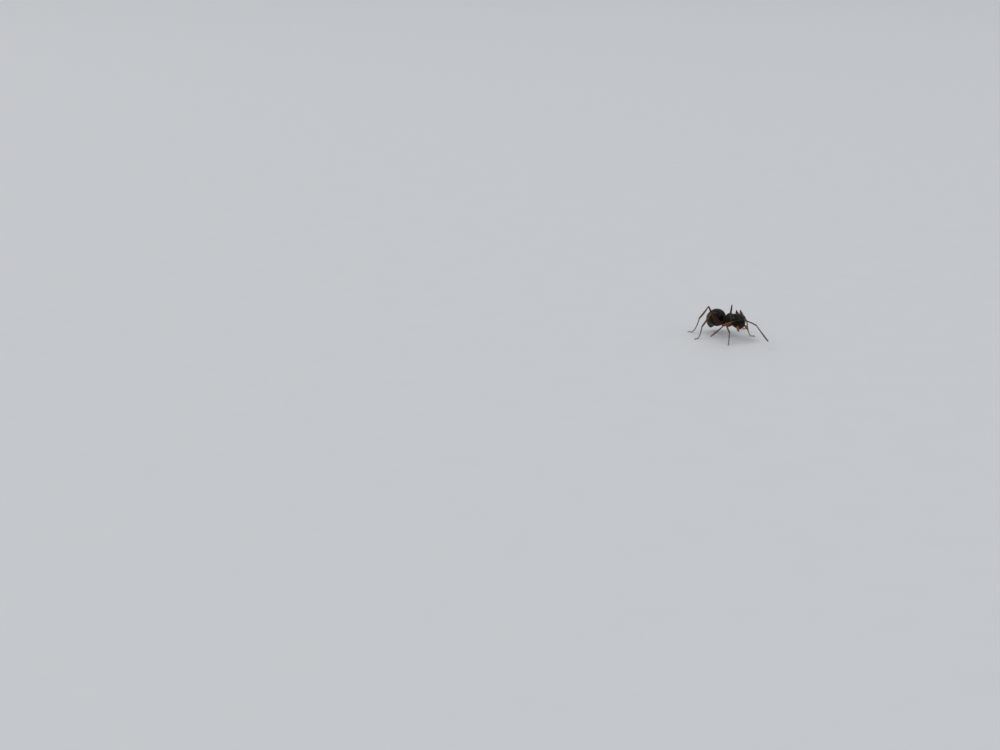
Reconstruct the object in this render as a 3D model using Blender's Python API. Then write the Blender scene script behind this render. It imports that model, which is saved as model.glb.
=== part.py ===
"""A small black ant in mid stride, at its real size: a body of about 5 mm on six standing legs.

Units are metres, with +Z up. The ant walks towards -Y, so its left side is at +X, and the floor
under its feet is Z = 0. Places on it are written as (forward, right, up) in millimetres, measured
from the spot on the floor under the gaster, and at() turns them into Blender's metres. At the end
the whole ant is shifted along the floor until the origin is under the middle of its outline.

Every piece that a person would name is one object. Pieces that meet are parted by a thin cut:
limb joints by a plane that halves the bend, and everything else by taking the neighbour, swollen
by the same small gap, out of the piece.
"""

import math

import bmesh
import bpy
from mathutils import Matrix, Vector

MM = 0.001
GAP = 0.02  # clear width of every cut between two pieces

# Limbs are as thick as a cast model needs, about half a millimetre; radii in millimetres.
LIMB = 0.245
SLIM = 0.23
TIP = 0.245
COXA = 0.225
FOOT_FLAT = 0.045  # how much of the underside of a tarsus is planed away where it stands

# Knees, elbows and tips are given where they are in life, where a limb is this thin. The thick
# limbs are drawn in behind them, so that they reach no farther than the living ones.
LIFE = 0.055

# Trunk: three humps in a row, each (forward, up) and half its length, width and height.
PRONOTUM = dict(centre=(1.93, 1.43), halves=(0.37, 0.41, 0.43), pitch=14)
MESOTHORAX = dict(centre=(1.66, 1.40), halves=(0.42, 0.36, 0.45), pitch=0)
PROPODEUM = dict(centre=(1.41, 1.28), halves=(0.35, 0.335, 0.39), pitch=-8)
COLLAR_CUT = dict(place=(1.82, 1.42), lean=12)  # between pronotum and mesothorax
WAIST_CUT = dict(place=(1.50, 1.32), lean=-14)  # between mesothorax and propodeum

# Petiole: an upright scale on a short stalk.
SCALE_FORWARD = 0.995
SCALE_FOOT, SCALE_TOP = 0.74, 1.41
SCALE_HALF_WIDTH, SCALE_HALF_THICK = 0.25, 0.085

# Gaster: a bent egg. Its rings fan out round a line that runs across under the belly.
BELLY_LINE = (0.542, 0.371)  # forward, up
GASTER_MIDDLE = 0.878  # from that line to the middle of a ring
GASTER_HALF_HEIGHT, GASTER_HALF_WIDTH = 0.657, 0.676
GASTER_FRONT, GASTER_TIP = math.radians(-23.1), math.radians(97.2)
TERGITE_ENDS = (0.40, 0.61, 0.78, 0.90, 1.0)  # shares of the way from front to tip
TERGITE_LEDGE = 0.014

# Head: tipped down and turned a little to the right.
HEAD_CENTRE = (2.57, 0.11, 1.515)
HEAD_LENGTH, HEAD_HALF_WIDTH, HEAD_HALF_DEPTH = 1.17, 0.583, 0.434
HEAD_TIP, HEAD_TURN = math.radians(35), math.radians(12)
NAPE_HOLLOW = 0.07
EYE_PLACE = (-0.085, 0.54, 0.125)  # along the head, out to the side, up from its middle
EYE_HALVES = (0.15, 0.083, 0.118)

# Mandibles: half open, each hung from its corner of the mouth.
MANDIBLE_LENGTH, MANDIBLE_ROOT, MANDIBLE_HALF_THICK = 0.53, 0.08, 0.063
MANDIBLE_HINGE = (0.285, 0.083)  # out to the side, and up from the middle of the head
MANDIBLE_OPENING = math.radians(16)
MANDIBLE_BOW = 0.10  # how far the tip curves back under the head
MANDIBLE_TEETH = 5

# Antennae: root, elbow, tip, and how far the flagellum bows upwards between elbow and tip.
ANTENNAE = {
    "left": ((3.03, 0.013, 1.655), (4.26, -0.08, 1.48), (5.81, 0.10, 0.68), -0.02),
    "right": ((2.95, 0.385, 1.655), (2.80, 1.63, 1.47), (3.11, 3.23, 0.91), 0.0),
}

# Legs: root of the coxa, hip, knee, ankle, toe, and how steeply the tarsus drops to the floor.
LEGS = {
    "front_left": ((2.08, -0.24, 1.20), (2.12, -0.57, 1.03), (1.69, -0.97, 1.95),
                   (2.12, -1.28, 1.08), (2.62, -1.74, 0.0), 4.0),
    "front_right": ((2.08, 0.24, 1.20), (2.12, 0.57, 1.03), (2.19, 1.06, 1.49),
                    (2.80, 1.22, 0.80), (3.27, 1.54, 0.0), 2.4),
    "middle_left": ((1.59, -0.24, 1.13), (1.57, -0.60, 1.00), (1.16, -1.08, 1.78),
                    (0.98, -1.80, 0.95), (0.60, -2.62, 0.0), 2.4),
    "middle_right": ((1.61, 0.24, 1.13), (1.60, 0.60, 1.00), (1.00, 1.32, 1.90),
                     (0.79, 1.86, 0.88), (0.66, 2.59, 0.0), 3.4),
    "hind_left": ((1.11, -0.25, 1.10), (1.01, -0.57, 1.00), (0.33, -1.33, 1.98),
                  (-0.15, -1.72, 1.10), (-1.20, -2.00, 0.0), 2.4),
    "hind_right": ((1.11, 0.25, 1.10), (1.01, 0.60, 1.00), (0.20, 0.86, 2.17),
                   (-0.34, 1.18, 1.17), (-1.17, 1.65, 0.0), 2.8),
}

# Finishes: base colour and roughness.
FINISHES = {
    "jet": ((0.016, 0.014, 0.016), 0.26),
    "gaster_brown": ((0.030, 0.019, 0.014), 0.24),
    "eye": ((0.008, 0.008, 0.010), 0.14),
    "mandible": ((0.300, 0.105, 0.032), 0.34),
    "antenna": ((0.170, 0.062, 0.030), 0.42),
    "coxa": ((0.260, 0.085, 0.030), 0.36),
    "femur": ((0.110, 0.038, 0.018), 0.36),
    "tibia": ((0.170, 0.080, 0.034), 0.40),
    "tarsus": ((0.180, 0.110, 0.070), 0.48),
}


def clear_scene():
    for obj in list(bpy.data.objects):
        bpy.data.objects.remove(obj)


def at(forward, right, up):
    """The place in Blender's metres of a place on the ant."""
    return Vector((-right, -forward, up)) * MM


def collection(name):
    made = bpy.data.collections.new(name)
    bpy.context.scene.collection.children.link(made)
    return made


def make_finish(name):
    colour, roughness = FINISHES[name]
    finish = bpy.data.materials.new(name)
    finish.use_nodes = True
    shader = finish.node_tree.nodes["Principled BSDF"]
    shader.inputs["Base Color"].default_value = (*colour, 1.0)
    shader.inputs["Roughness"].default_value = roughness
    shader.inputs["Metallic"].default_value = 0.0
    return finish


def add_piece(name, mesh, finish):
    """The mesh as one named part of the ant, in a material of its own."""
    mesh.materials.clear()
    mesh.materials.append(make_finish(finish))
    mesh.shade_smooth()
    mesh.set_sharp_from_angle(angle=math.radians(40))
    piece = bpy.data.objects.new(name, mesh)
    ANT.objects.link(piece)
    return piece


def mesh_of(name, shape):
    """The bmesh as a mesh, with its faces turned outwards."""
    bmesh.ops.remove_doubles(shape, verts=shape.verts[:], dist=1e-8)
    bmesh.ops.recalc_face_normals(shape, faces=shape.faces[:])
    mesh = bpy.data.meshes.new(name)
    shape.to_mesh(mesh)
    shape.free()
    return mesh


def ball(name, place, axes, finish, segments=22, rings=13):
    """An ellipsoid: a unit sphere carried onto three half axes, given as vectors."""
    shape = bmesh.new()
    bmesh.ops.create_uvsphere(shape, u_segments=segments, v_segments=rings, radius=1.0)
    for vert in shape.verts:
        x, y, z = vert.co
        vert.co = place + x * axes[0] + y * axes[1] + z * axes[2]
    return add_piece(name, mesh_of(name, shape), finish)


def loft(name, rings, finish):
    """A skin through rings of points; the first and last ring are drawn together to a point."""
    shape = bmesh.new()
    rows = [[shape.verts.new(point) for point in ring] for ring in rings]
    for row, following in zip(rows, rows[1:]):
        for i in range(len(row)):
            before = i - 1
            shape.faces.new((row[before], row[i], following[i], following[before]))
    for row in (rows[0], rows[-1]):
        middle = shape.verts.new(sum((vert.co for vert in row), Vector()) / len(row))
        for i in range(len(row)):
            shape.faces.new((row[i - 1], row[i], middle))
    return add_piece(name, mesh_of(name, shape), finish)


def ring(centre, across, upwards, sides=20):
    """Points of an ellipse round the centre, from its two half axes."""
    points = []
    for i in range(sides):
        angle = 2 * math.pi * i / sides
        points.append(centre + math.cos(angle) * across + math.sin(angle) * upwards)
    return points


def round_end(end, inner, radius):
    """Stations of a half-round cap past the end of a limb, from its rim outwards."""
    outwards = (end - inner).normalized()
    stations = []
    for degrees in (28, 54, 76):
        angle = math.radians(degrees)
        stations.append((end + outwards * radius * MM * math.sin(angle), radius * math.cos(angle)))
    return stations


def limb(name, path, radii, finish):
    """A tube along the path, with its own radius at each point and round ends."""
    first = round_end(path[0], path[1], radii[0])[::-1]
    last = round_end(path[-1], path[-2], radii[-1])
    stations = first + list(zip(path, radii)) + last
    curve = bpy.data.curves.new(name, "CURVE")
    curve.dimensions = "3D"
    curve.bevel_depth = MM
    curve.bevel_resolution = 2
    curve.use_fill_caps = True
    spline = curve.splines.new("POLY")
    spline.points.add(len(stations) - 1)
    for point, (place, radius) in zip(spline.points, stations):
        point.co = (*place, 1.0)
        point.radius = radius
    guide = bpy.data.objects.new(name + "_guide", curve)
    ANT.objects.link(guide)
    graph = bpy.context.evaluated_depsgraph_get()
    shape = bmesh.new()
    shape.from_mesh(bpy.data.meshes.new_from_object(guide.evaluated_get(graph)))
    bpy.data.objects.remove(guide)
    return add_piece(name, mesh_of(name, shape), finish)


def trim(piece, place, outwards):
    """Cuts away all of the piece beyond the plane and closes the cut."""
    shape = bmesh.new()
    shape.from_mesh(piece.data)
    everything = shape.verts[:] + shape.edges[:] + shape.faces[:]
    bmesh.ops.bisect_plane(
        shape, geom=everything, dist=1e-9, plane_co=place, plane_no=outwards, clear_outer=True
    )
    rim = [edge for edge in shape.edges if edge.is_boundary]
    bmesh.ops.holes_fill(shape, edges=rim)
    bmesh.ops.recalc_face_normals(shape, faces=shape.faces[:])
    shape.to_mesh(piece.data)
    shape.free()


def part_with_cut(before, after, place, onwards):
    """Trims two pieces on either side of a plane, with half the gap to each."""
    onwards = onwards.normalized()
    trim(before, place - onwards * GAP * MM / 2, onwards)
    trim(after, place + onwards * GAP * MM / 2, -onwards)


def swollen(piece):
    """A copy of the piece, larger by the gap all round, that serves as a cutter."""
    mesh = piece.data.copy()
    shape = bmesh.new()
    shape.from_mesh(mesh)
    shape.normal_update()
    for vert, outwards in [(vert, vert.normal.copy()) for vert in shape.verts]:
        vert.co += outwards * GAP * MM
    shape.to_mesh(mesh)
    shape.free()
    cutter = bpy.data.objects.new(piece.name + "_swollen", mesh)
    cutter.hide_render = True
    cutter.display_type = "WIRE"
    CUTTERS.objects.link(cutter)
    return cutter


def take_out(piece, cutter):
    cut = piece.modifiers.new("clear_of_" + cutter.name, "BOOLEAN")
    cut.operation = "DIFFERENCE"
    cut.solver = "EXACT"
    cut.object = cutter


def hump(name, size):
    """One hump of the trunk, pitched nose up by its own angle."""
    forward, up = size["centre"]
    length, width, height = size["halves"]
    pitch = math.radians(size["pitch"])
    along = at(length * math.cos(pitch), 0, length * math.sin(pitch))
    across = at(0, width, 0)
    upwards = at(-height * math.sin(pitch), 0, height * math.cos(pitch))
    return ball(name, at(forward, 0, up), (across, upwards, along), "jet")


def cut_plane(cut):
    """A plane across the trunk that leans forwards at its top; (place, forward normal)."""
    lean = math.radians(cut["lean"])
    forward, up = cut["place"]
    return at(forward, 0, up), at(math.cos(lean), 0, -math.sin(lean))


def build_trunk():
    pronotum = hump("pronotum", PRONOTUM)
    mesothorax = hump("mesothorax", MESOTHORAX)
    propodeum = hump("propodeum", PROPODEUM)
    part_with_cut(mesothorax, pronotum, *cut_plane(COLLAR_CUT))
    part_with_cut(propodeum, mesothorax, *cut_plane(WAIST_CUT))
    return pronotum, mesothorax, propodeum


def gaster_fullness(share):
    """Size of a ring as a share of the largest: blunt at the front, drawn out at the tip."""
    return math.sin(math.pi * share**0.728) ** 0.715


def gaster_ring(share, ledge):
    """One ring of the gaster, in a plane through the belly line."""
    angle = GASTER_FRONT + (GASTER_TIP - GASTER_FRONT) * share
    full = gaster_fullness(share)
    forward, up = BELLY_LINE
    reach = GASTER_MIDDLE + 0.05 * share**6
    centre = at(forward - reach * math.sin(angle), 0, up + reach * math.cos(angle))
    high = GASTER_HALF_HEIGHT * full + ledge
    upwards = at(-high * math.sin(angle), 0, high * math.cos(angle))
    return ring(centre, at(0, GASTER_HALF_WIDTH * full + ledge, 0), upwards)


def build_gaster():
    """Each plate of the gaster widens to its hind edge and steps down to the next."""
    rings = [gaster_ring(share, 0.0) for share in (0.006, 0.03, 0.08, 0.16)]
    start = 0.26
    for end in TERGITE_ENDS[:-1]:
        for part in (0.0, 0.5, 1.0):
            share = start + (end - start) * part
            rings.append(gaster_ring(share, TERGITE_LEDGE * part))
        start = end + 0.008
    rings += [gaster_ring(share, 0.0) for share in (start, 0.955, 0.985, 0.997)]
    return loft("gaster", rings, "gaster_brown")


def build_petiole():
    """The scale narrows to a blunt edge at its top and stands on a thicker foot."""
    rings = []
    for share in (0.0, 0.06, 0.2, 0.4, 0.6, 0.78, 0.9, 0.97, 1.0):
        width = SCALE_HALF_WIDTH * (0.12 + 0.88 * math.sin(math.pi * (0.12 + 0.83 * share)) ** 0.6)
        thick = SCALE_HALF_THICK * (1.25 - share) * math.sin(math.pi * (0.1 + 0.82 * share)) ** 0.4
        height = SCALE_FOOT + (SCALE_TOP - SCALE_FOOT) * share
        rings.append(ring(at(SCALE_FORWARD, 0, height), at(0, width, 0), at(thick, 0, 0), 16))
    return loft("petiole", rings, "jet")


def head_place(along, right, out):
    """A place on the head: towards the mouth, to the ant's right, and out of the face."""
    ahead = along * math.cos(HEAD_TIP) + out * math.sin(HEAD_TIP)
    rise = out * math.cos(HEAD_TIP) - along * math.sin(HEAD_TIP)
    forward = ahead * math.cos(HEAD_TURN) - right * math.sin(HEAD_TURN)
    sideways = ahead * math.sin(HEAD_TURN) + right * math.cos(HEAD_TURN)
    return at(HEAD_CENTRE[0] + forward, HEAD_CENTRE[1] + sideways, HEAD_CENTRE[2] + rise)


def head_vector(along, right, out):
    return head_place(along, right, out) - head_place(0, 0, 0)


def head_ring(share):
    """A slice of the head, widest behind the eyes; the nape is hollowed at its middle."""
    width = HEAD_HALF_WIDTH * math.sin(math.pi * (0.88 * share) ** 0.68) ** 0.5
    depth = HEAD_HALF_DEPTH * math.sin(math.pi * (0.03 + 0.85 * share)) ** 0.5
    along = (share - 0.5) * HEAD_LENGTH
    points = []
    for i in range(20):
        angle = 2 * math.pi * i / 20
        x, y = math.cos(angle), math.sin(angle)
        x = math.copysign(abs(x) ** 0.88, x) * width
        y = math.copysign(abs(y) ** 0.88, y) * depth
        hollow = NAPE_HOLLOW * (1 - (x / HEAD_HALF_WIDTH) ** 2) * math.exp(-share / 0.12)
        points.append(head_place(along + hollow, x, y))
    return points


def mouth_ring(shrink, forward):
    """A slice past the front of the head, where it closes above and between the mandibles."""
    front = head_ring(1.0)
    middle = sum(front, Vector()) / len(front)
    step = head_vector(forward, 0, 0)
    return [middle + (point - middle) * shrink + step for point in front]


def build_head():
    shares = [0.5 - 0.5 * math.cos(math.pi * k / 16) for k in range(1, 12)] + [0.80, 0.89, 0.96, 1.0]
    rings = [head_ring(share) for share in [0.003] + shares]
    rings += [mouth_ring(0.86, 0.028), mouth_ring(0.5, 0.05)]
    return loft("head", rings, "jet")


def build_eye(side, sign):
    along, right, out = EYE_PLACE
    length, depth, height = EYE_HALVES
    lean = math.radians(12)
    axes = (
        head_vector(0, depth * math.cos(lean), -sign * depth * math.sin(lean)),
        head_vector(0, sign * height * math.sin(lean), height * math.cos(lean)),
        head_vector(length, 0, 0),
    )
    place = head_place(along, sign * right, out)
    return ball("eye_" + side, place, axes, "eye", segments=14, rings=9)


def mandible_outline():
    """The blade laid flat as (length, towards the other blade): curved back, toothed edge."""
    points = []
    for k in range(7):
        share = k / 6
        along = (MANDIBLE_LENGTH + MANDIBLE_ROOT) * share - MANDIBLE_ROOT
        curve = 0.135 * share**2.2 - 0.055 * math.sin(math.pi * share**0.8)
        points.append((along, curve - 0.085))
    tip, heel = points[-1], (0.46 * MANDIBLE_LENGTH, 0.105)
    for tooth in range(MANDIBLE_TEETH):
        for part, depth in ((0.45, 0.04), (1.0, 0.0)):
            share = (tooth + part) / MANDIBLE_TEETH
            along = tip[0] + (heel[0] - tip[0]) * share - depth * 0.5
            inwards = tip[1] + (heel[1] - tip[1]) * share - depth
            points.append((along, inwards))
    points.append((0.11, 0.075))
    points.append((-MANDIBLE_ROOT, 0.07))
    return points


def mandible_place(along, inwards, thick, sign):
    """A place on the drawn blade, swung open at its hinge and bowed back towards its tip."""
    aside, out = MANDIBLE_HINGE
    reach = along * math.cos(MANDIBLE_OPENING) + inwards * math.sin(MANDIBLE_OPENING)
    aside += along * math.sin(MANDIBLE_OPENING) - inwards * math.cos(MANDIBLE_OPENING)
    out += thick - MANDIBLE_BOW * (along / MANDIBLE_LENGTH) ** 2
    return head_place(0.5 * HEAD_LENGTH + reach, sign * aside, out)


def build_mandible(side, sign):
    """The outline is drawn as a flat curve, extruded, and set at its corner of the mouth."""
    curve = bpy.data.curves.new("mandible_" + side, "CURVE")
    curve.dimensions = "2D"
    curve.fill_mode = "BOTH"
    curve.extrude = MANDIBLE_HALF_THICK
    spline = curve.splines.new("POLY")
    outline = mandible_outline()
    spline.points.add(len(outline) - 1)
    for point, (along, inwards) in zip(spline.points, outline):
        point.co = (along, inwards, 0.0, 1.0)
    spline.use_cyclic_u = True
    guide = bpy.data.objects.new("mandible_guide", curve)
    ANT.objects.link(guide)
    graph = bpy.context.evaluated_depsgraph_get()
    shape = bmesh.new()
    shape.from_mesh(bpy.data.meshes.new_from_object(guide.evaluated_get(graph)))
    bpy.data.objects.remove(guide)
    for vert in shape.verts:
        vert.co = mandible_place(*vert.co, sign)
    return add_piece("mandible_" + side, mesh_of("mandible_" + side, shape), "mandible")


def between(start, end, share):
    return start + (end - start) * share


def drawn_in(before, joint, after):
    """A knee or elbow, moved into its bend by as much as the limb is thicker than in life."""
    outwards = (joint - before).normalized() + (joint - after).normalized()
    return joint - outwards.normalized() * (SLIM - LIFE) * MM


def antenna_path(elbow, tip, bow):
    """Places along the flagellum, whose round end reaches just to the tip."""
    tip = tip - (tip - elbow).normalized() * TIP * MM
    path = []
    for k in range(9):
        share = k / 8
        path.append(between(elbow, tip, share) + at(0, 0, bow * math.sin(math.pi * share)))
    return path


def build_antenna(side, root, elbow, tip, bow):
    """The scape is narrow where it leaves the face; the flagellum is stoutest near its tip."""
    root, tip = at(*root), at(*tip)
    elbow = drawn_in(root, at(*elbow), tip)
    stem = [between(root, elbow, share) for share in (0.0, 0.16, 0.34, 0.6, 0.8, 1.0)]
    scape = limb(f"antenna_{side}_scape", stem, (0.13, 0.15, 0.20, SLIM, SLIM, SLIM), "antenna")
    path = antenna_path(elbow, tip, bow)
    radii = [SLIM + (TIP - SLIM) * k / 8 for k in range(9)]
    flagellum = limb(f"antenna_{side}_flagellum", path, radii, "antenna")
    bend = (elbow - root).normalized() + (path[1] - elbow).normalized()
    part_with_cut(scape, flagellum, elbow, bend)
    return scape


def tarsus_path(ankle, toe, drop):
    """From the ankle the tarsus falls steeply and then runs out level along the floor."""
    ahead = Vector((toe.x - ankle.x, toe.y - ankle.y, 0)).normalized()
    toe = toe - ahead * SLIM * MM
    path = []
    for k in range(8):
        share = (k / 7) ** 1.35
        place = between(ankle, toe, share)
        height = max(ankle.z * (1 - share) ** drop, (SLIM - FOOT_FLAT) * MM)
        path.append(Vector((place.x, place.y, height)))
    return path


def build_leg(name, root, hip, knee, ankle, toe, drop):
    """Coxa, femur, tibia and tarsus, each cut from the next where the leg bends; returns two."""
    root, hip, knee, ankle, toe = (at(*place) for place in (root, hip, knee, ankle, toe))
    knee = drawn_in(hip, knee, ankle)
    prefix = f"leg_{name}_"
    stem = [between(root, hip, share) for share in (0.0, 0.33, 0.67, 1.0)]
    coxa = limb(prefix + "coxa", stem, (COXA, COXA, COXA, COXA), "coxa")
    thigh = [between(hip, knee, share) for share in (0.0, 0.2, 0.45, 0.7, 1.0)]
    femur = limb(prefix + "femur", thigh, (COXA, 0.24, LIMB, 0.24, SLIM), "femur")
    shin = [between(knee, ankle, share) for share in (0.0, 0.25, 0.5, 0.75, 1.0)]
    tibia = limb(prefix + "tibia", shin, (SLIM, 0.235, LIMB, 0.24, SLIM), "tibia")
    path = tarsus_path(ankle, toe, drop)
    tarsus = limb(prefix + "tarsus", path, [SLIM] * len(path), "tarsus")
    joints = ((coxa, femur, hip, hip - root, knee - hip),
              (femur, tibia, knee, knee - hip, ankle - knee),
              (tibia, tarsus, ankle, ankle - knee, path[1] - ankle))
    for before, after, place, arriving, leaving in joints:
        part_with_cut(before, after, place, arriving.normalized() + leaving.normalized())
    trim(tarsus, Vector((0, 0, 0)), Vector((0, 0, -1)))
    return coxa, femur


def build_ant():
    head = build_head()
    trunk = build_trunk()
    pronotum, mesothorax, propodeum = trunk
    gaster = build_gaster()
    petiole = build_petiole()
    swollen_head = swollen(head)
    swollen_trunk = [swollen(piece) for piece in trunk]
    take_out(pronotum, swollen_head)
    take_out(petiole, swollen_trunk[2])
    swollen_gaster = swollen(gaster)
    take_out(petiole, swollen_gaster)
    swollen_petiole = swollen(petiole)
    for side, sign in (("left", -1), ("right", 1)):
        take_out(head, swollen(build_eye(side, sign)))
        take_out(build_mandible(side, sign), swollen_head)
        take_out(build_antenna(side, *ANTENNAE[side]), swollen_head)
    for name, places in LEGS.items():
        coxa, femur = build_leg(name, *places)
        for cutter in swollen_trunk:
            take_out(coxa, cutter)
        if name.startswith("front"):
            take_out(coxa, swollen_head)
        if name.startswith("hind"):
            take_out(coxa, swollen_petiole)
            take_out(femur, swollen_gaster)


def centre_over_origin():
    """Shifts every mesh, cutters too, so that the ant's box stands centred on the origin."""
    graph = bpy.context.evaluated_depsgraph_get()
    pieces = [piece.evaluated_get(graph) for piece in ANT.objects]
    corners = [Vector(corner) for piece in pieces for corner in piece.bound_box]
    low = [min(corner[axis] for corner in corners) for axis in (0, 1)]
    high = [max(corner[axis] for corner in corners) for axis in (0, 1)]
    shift = Matrix.Translation((-(low[0] + high[0]) / 2, -(low[1] + high[1]) / 2, 0))
    for obj in bpy.data.objects:
        obj.data.transform(shift)


clear_scene()
ANT = collection("ant")
CUTTERS = collection("cutters")
build_ant()
centre_over_origin()
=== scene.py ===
# %% [markdown]
# # A small black ant, as a museum's still model
#
# The ant is a jet-black worker of a wood-dwelling kind, about five millimetres long. It has
# stopped in mid stride, with its jaws open and both feelers out in front. Nothing on it moves: the
# model is one rigid body. The solids of that body come in from the CAD frame, and this script
# lays the finished shapes over them: a head with its face plate and faceted eyes, a sutured
# trunk, an overlapping gaster, limbs as slim as life, claws and short hair.
#
# Everything is worked out in millimetres and turned into Blender's metres at the last moment.

# %% Load the frame
import math

import bpy
import numpy as np
from mathutils import Matrix, Vector


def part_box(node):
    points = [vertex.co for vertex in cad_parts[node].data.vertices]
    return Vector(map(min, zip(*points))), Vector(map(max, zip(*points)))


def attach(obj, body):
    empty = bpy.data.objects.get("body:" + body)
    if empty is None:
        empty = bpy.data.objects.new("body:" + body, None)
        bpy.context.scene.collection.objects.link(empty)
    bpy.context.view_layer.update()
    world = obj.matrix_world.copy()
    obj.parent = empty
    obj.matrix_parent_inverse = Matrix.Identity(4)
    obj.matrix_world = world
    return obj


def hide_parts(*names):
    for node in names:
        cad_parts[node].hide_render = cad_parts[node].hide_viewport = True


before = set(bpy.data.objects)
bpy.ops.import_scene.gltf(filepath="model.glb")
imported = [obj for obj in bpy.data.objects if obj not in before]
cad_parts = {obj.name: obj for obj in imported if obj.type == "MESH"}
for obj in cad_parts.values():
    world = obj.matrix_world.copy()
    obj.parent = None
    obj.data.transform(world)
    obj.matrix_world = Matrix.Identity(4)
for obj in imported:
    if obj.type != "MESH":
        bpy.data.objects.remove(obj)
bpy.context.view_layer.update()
MM = 0.001  # one millimetre in Blender's metres
SIDES = {"left": -1, "right": 1}  # which way each side lies along the ant's own right
print("CAD nodes:", len(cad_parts))

# %% [markdown]
# ## Where the ant stands
#
# The pose is read from the frame and not written down a second time. The two eyes are whole
# ellipsoids in the CAD model, so the middles of their boxes give the head's place and turn. The
# gaster's box gives the middle line of the body. From these follows the ant's own frame, in
# which a place is (forward, right, up) in millimetres from the spot on the floor under the
# gaster. The ant walks towards -Y.

# %% The ant's own frame
HEAD_FORWARD = 2.57  # the head's middle ahead of the spot
HEAD_TIP = math.radians(35)  # how far the face is tipped down
EYE_PLACE = (-0.085, 0.54, 0.125)  # along the head, out to the side, up out of the face


def box_mm(node):
    """Lowest and highest corner of a CAD node, as arrays in millimetres."""
    low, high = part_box(node)
    return np.array(low) / MM, np.array(high) / MM


def middle(node):
    """The middle of a CAD node's box."""
    low, high = box_mm(node)
    return (low + high) / 2


def unit(vectors):
    """Each vector divided by its length."""
    vectors = np.asarray(vectors, float)
    return vectors / np.maximum(np.linalg.norm(vectors, axis=-1, keepdims=True), 1e-12)


UP = np.array([0.0, 0.0, 1.0])
LEVEL = np.array([1.0, 1.0, 0.0])  # times a vector: what it has along the floor
HEAD_RIGHT = unit(middle("eye_right") - middle("eye_left"))
heading = unit(np.cross(UP, HEAD_RIGHT))
HEAD_ALONG = math.cos(HEAD_TIP) * heading - math.sin(HEAD_TIP) * UP
HEAD_OUT = math.cos(HEAD_TIP) * UP + math.sin(HEAD_TIP) * heading
HEAD_MIDDLE = ((middle("eye_right") + middle("eye_left")) / 2
               - EYE_PLACE[0] * HEAD_ALONG - EYE_PLACE[2] * HEAD_OUT)
SPOT = np.array([middle("gaster")[0], HEAD_MIDDLE[1] + HEAD_FORWARD, 0.0])


def at(forward, right, up):
    """Places in millimetres of Blender's axes: SPOT + (-right, -forward, up)."""
    forward, right, up = np.broadcast_arrays(forward, right, up)
    return SPOT + np.stack([-right, -forward, up], axis=-1).astype(float)


def on_head(along, right, out):
    """Places on the head: its middle plus a share of each of the head's three axes."""
    along, right, out = np.broadcast_arrays(np.asarray(along, float), right, out)
    return (HEAD_MIDDLE + along[..., None] * HEAD_ALONG + right[..., None] * HEAD_RIGHT
            + out[..., None] * HEAD_OUT)


def head_terms(points):
    """The reverse of on_head: (along, right, out) of places in millimetres."""
    away = np.asarray(points) - HEAD_MIDDLE
    return away @ HEAD_ALONG, away @ HEAD_RIGHT, away @ HEAD_OUT


print("spot under the gaster, mm:", SPOT.round(3), "head turned",
      round(math.degrees(math.atan2(-HEAD_ALONG[0], -HEAD_ALONG[1])), 1), "degrees to its right")

# %% [markdown]
# ## The camera
#
# The camera looks down on the ant by 16 degrees from ahead and to its right, and the ant is a
# small thing right of the middle of a wide picture. Two angles place the ant as seen, and two
# shares place it within the picture. From these the camera's own aim follows: the ray to the spot
# under the gaster leaves the lens well to the right of the picture's middle and a little above
# it, and the camera turns until that ray meets the spot. There is no roll and no shift.

# %% The camera
def placed(name, data):
    """A new object in the scene that shows a mesh, a light or a camera."""
    made = bpy.data.objects.new(name, data)
    bpy.context.scene.collection.objects.link(made)
    return made


AZIMUTH, ELEVATION = math.radians(-43), math.radians(16)
LENS, SENSOR = 50.0, 36.0
PICTURE_WIDTH = 75.2  # width of what the picture holds at the ant, mm
SPOT_RIGHT, SPOT_ABOVE = 0.214, 0.043  # from the middle, as shares of the picture's width

aside, above = SPOT_RIGHT * SENSOR, SPOT_ABOVE * SENSOR
ray = math.hypot(aside, above, LENS)
pitch = math.asin(ray * math.sin(ELEVATION) / math.hypot(above, LENS)) + math.atan2(above, LENS)
swing = math.atan2(aside, LENS * math.cos(pitch) + above * math.sin(pitch))
back = np.array([math.sin(AZIMUTH) * math.cos(ELEVATION),
                 -math.cos(AZIMUTH) * math.cos(ELEVATION), math.sin(ELEVATION)])
camera = placed("camera", bpy.data.cameras.new("camera"))
camera.data.lens = LENS
camera.data.sensor_width = SENSOR
camera.data.clip_start, camera.data.clip_end = 0.001, 20.0
camera.location = Vector((SPOT + back * PICTURE_WIDTH * ray / SENSOR) * MM)
camera.rotation_euler = (math.pi / 2 - pitch, 0.0, AZIMUTH + swing)
bpy.context.scene.camera = camera
print("camera at, mm:", [round(x / MM, 1) for x in camera.location],
      "pitched down", round(math.degrees(pitch), 2), "degrees")

# %% [markdown]
# ## Helpers for surfaces
#
# Every part of the ant is a tube-like skin: rows of points that run round it, one row after
# another from one end to the other. A numpy array of shape (rows, columns, 3) holds such a skin.
# The rows close on themselves, and each end is drawn together to one point, so a skin is always a
# closed solid shape. Fine forms, such as a groove between two plates, are a second array that
# says how far each point moves along the skin's normal. Subdivided cages could be sculpted into
# the same shapes, but on a grid the place of every point is known, so relief, tone and hair can
# all be worked out from it.

# %% Small formulas
TURN = 2 * math.pi


def ramp(x, start, end):
    """0 before start, 1 after end, and 3t^2 - 2t^3 in between."""
    t = np.clip((np.asarray(x, float) - start) / (end - start), 0.0, 1.0)
    return t * t * (3 - 2 * t)


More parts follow.
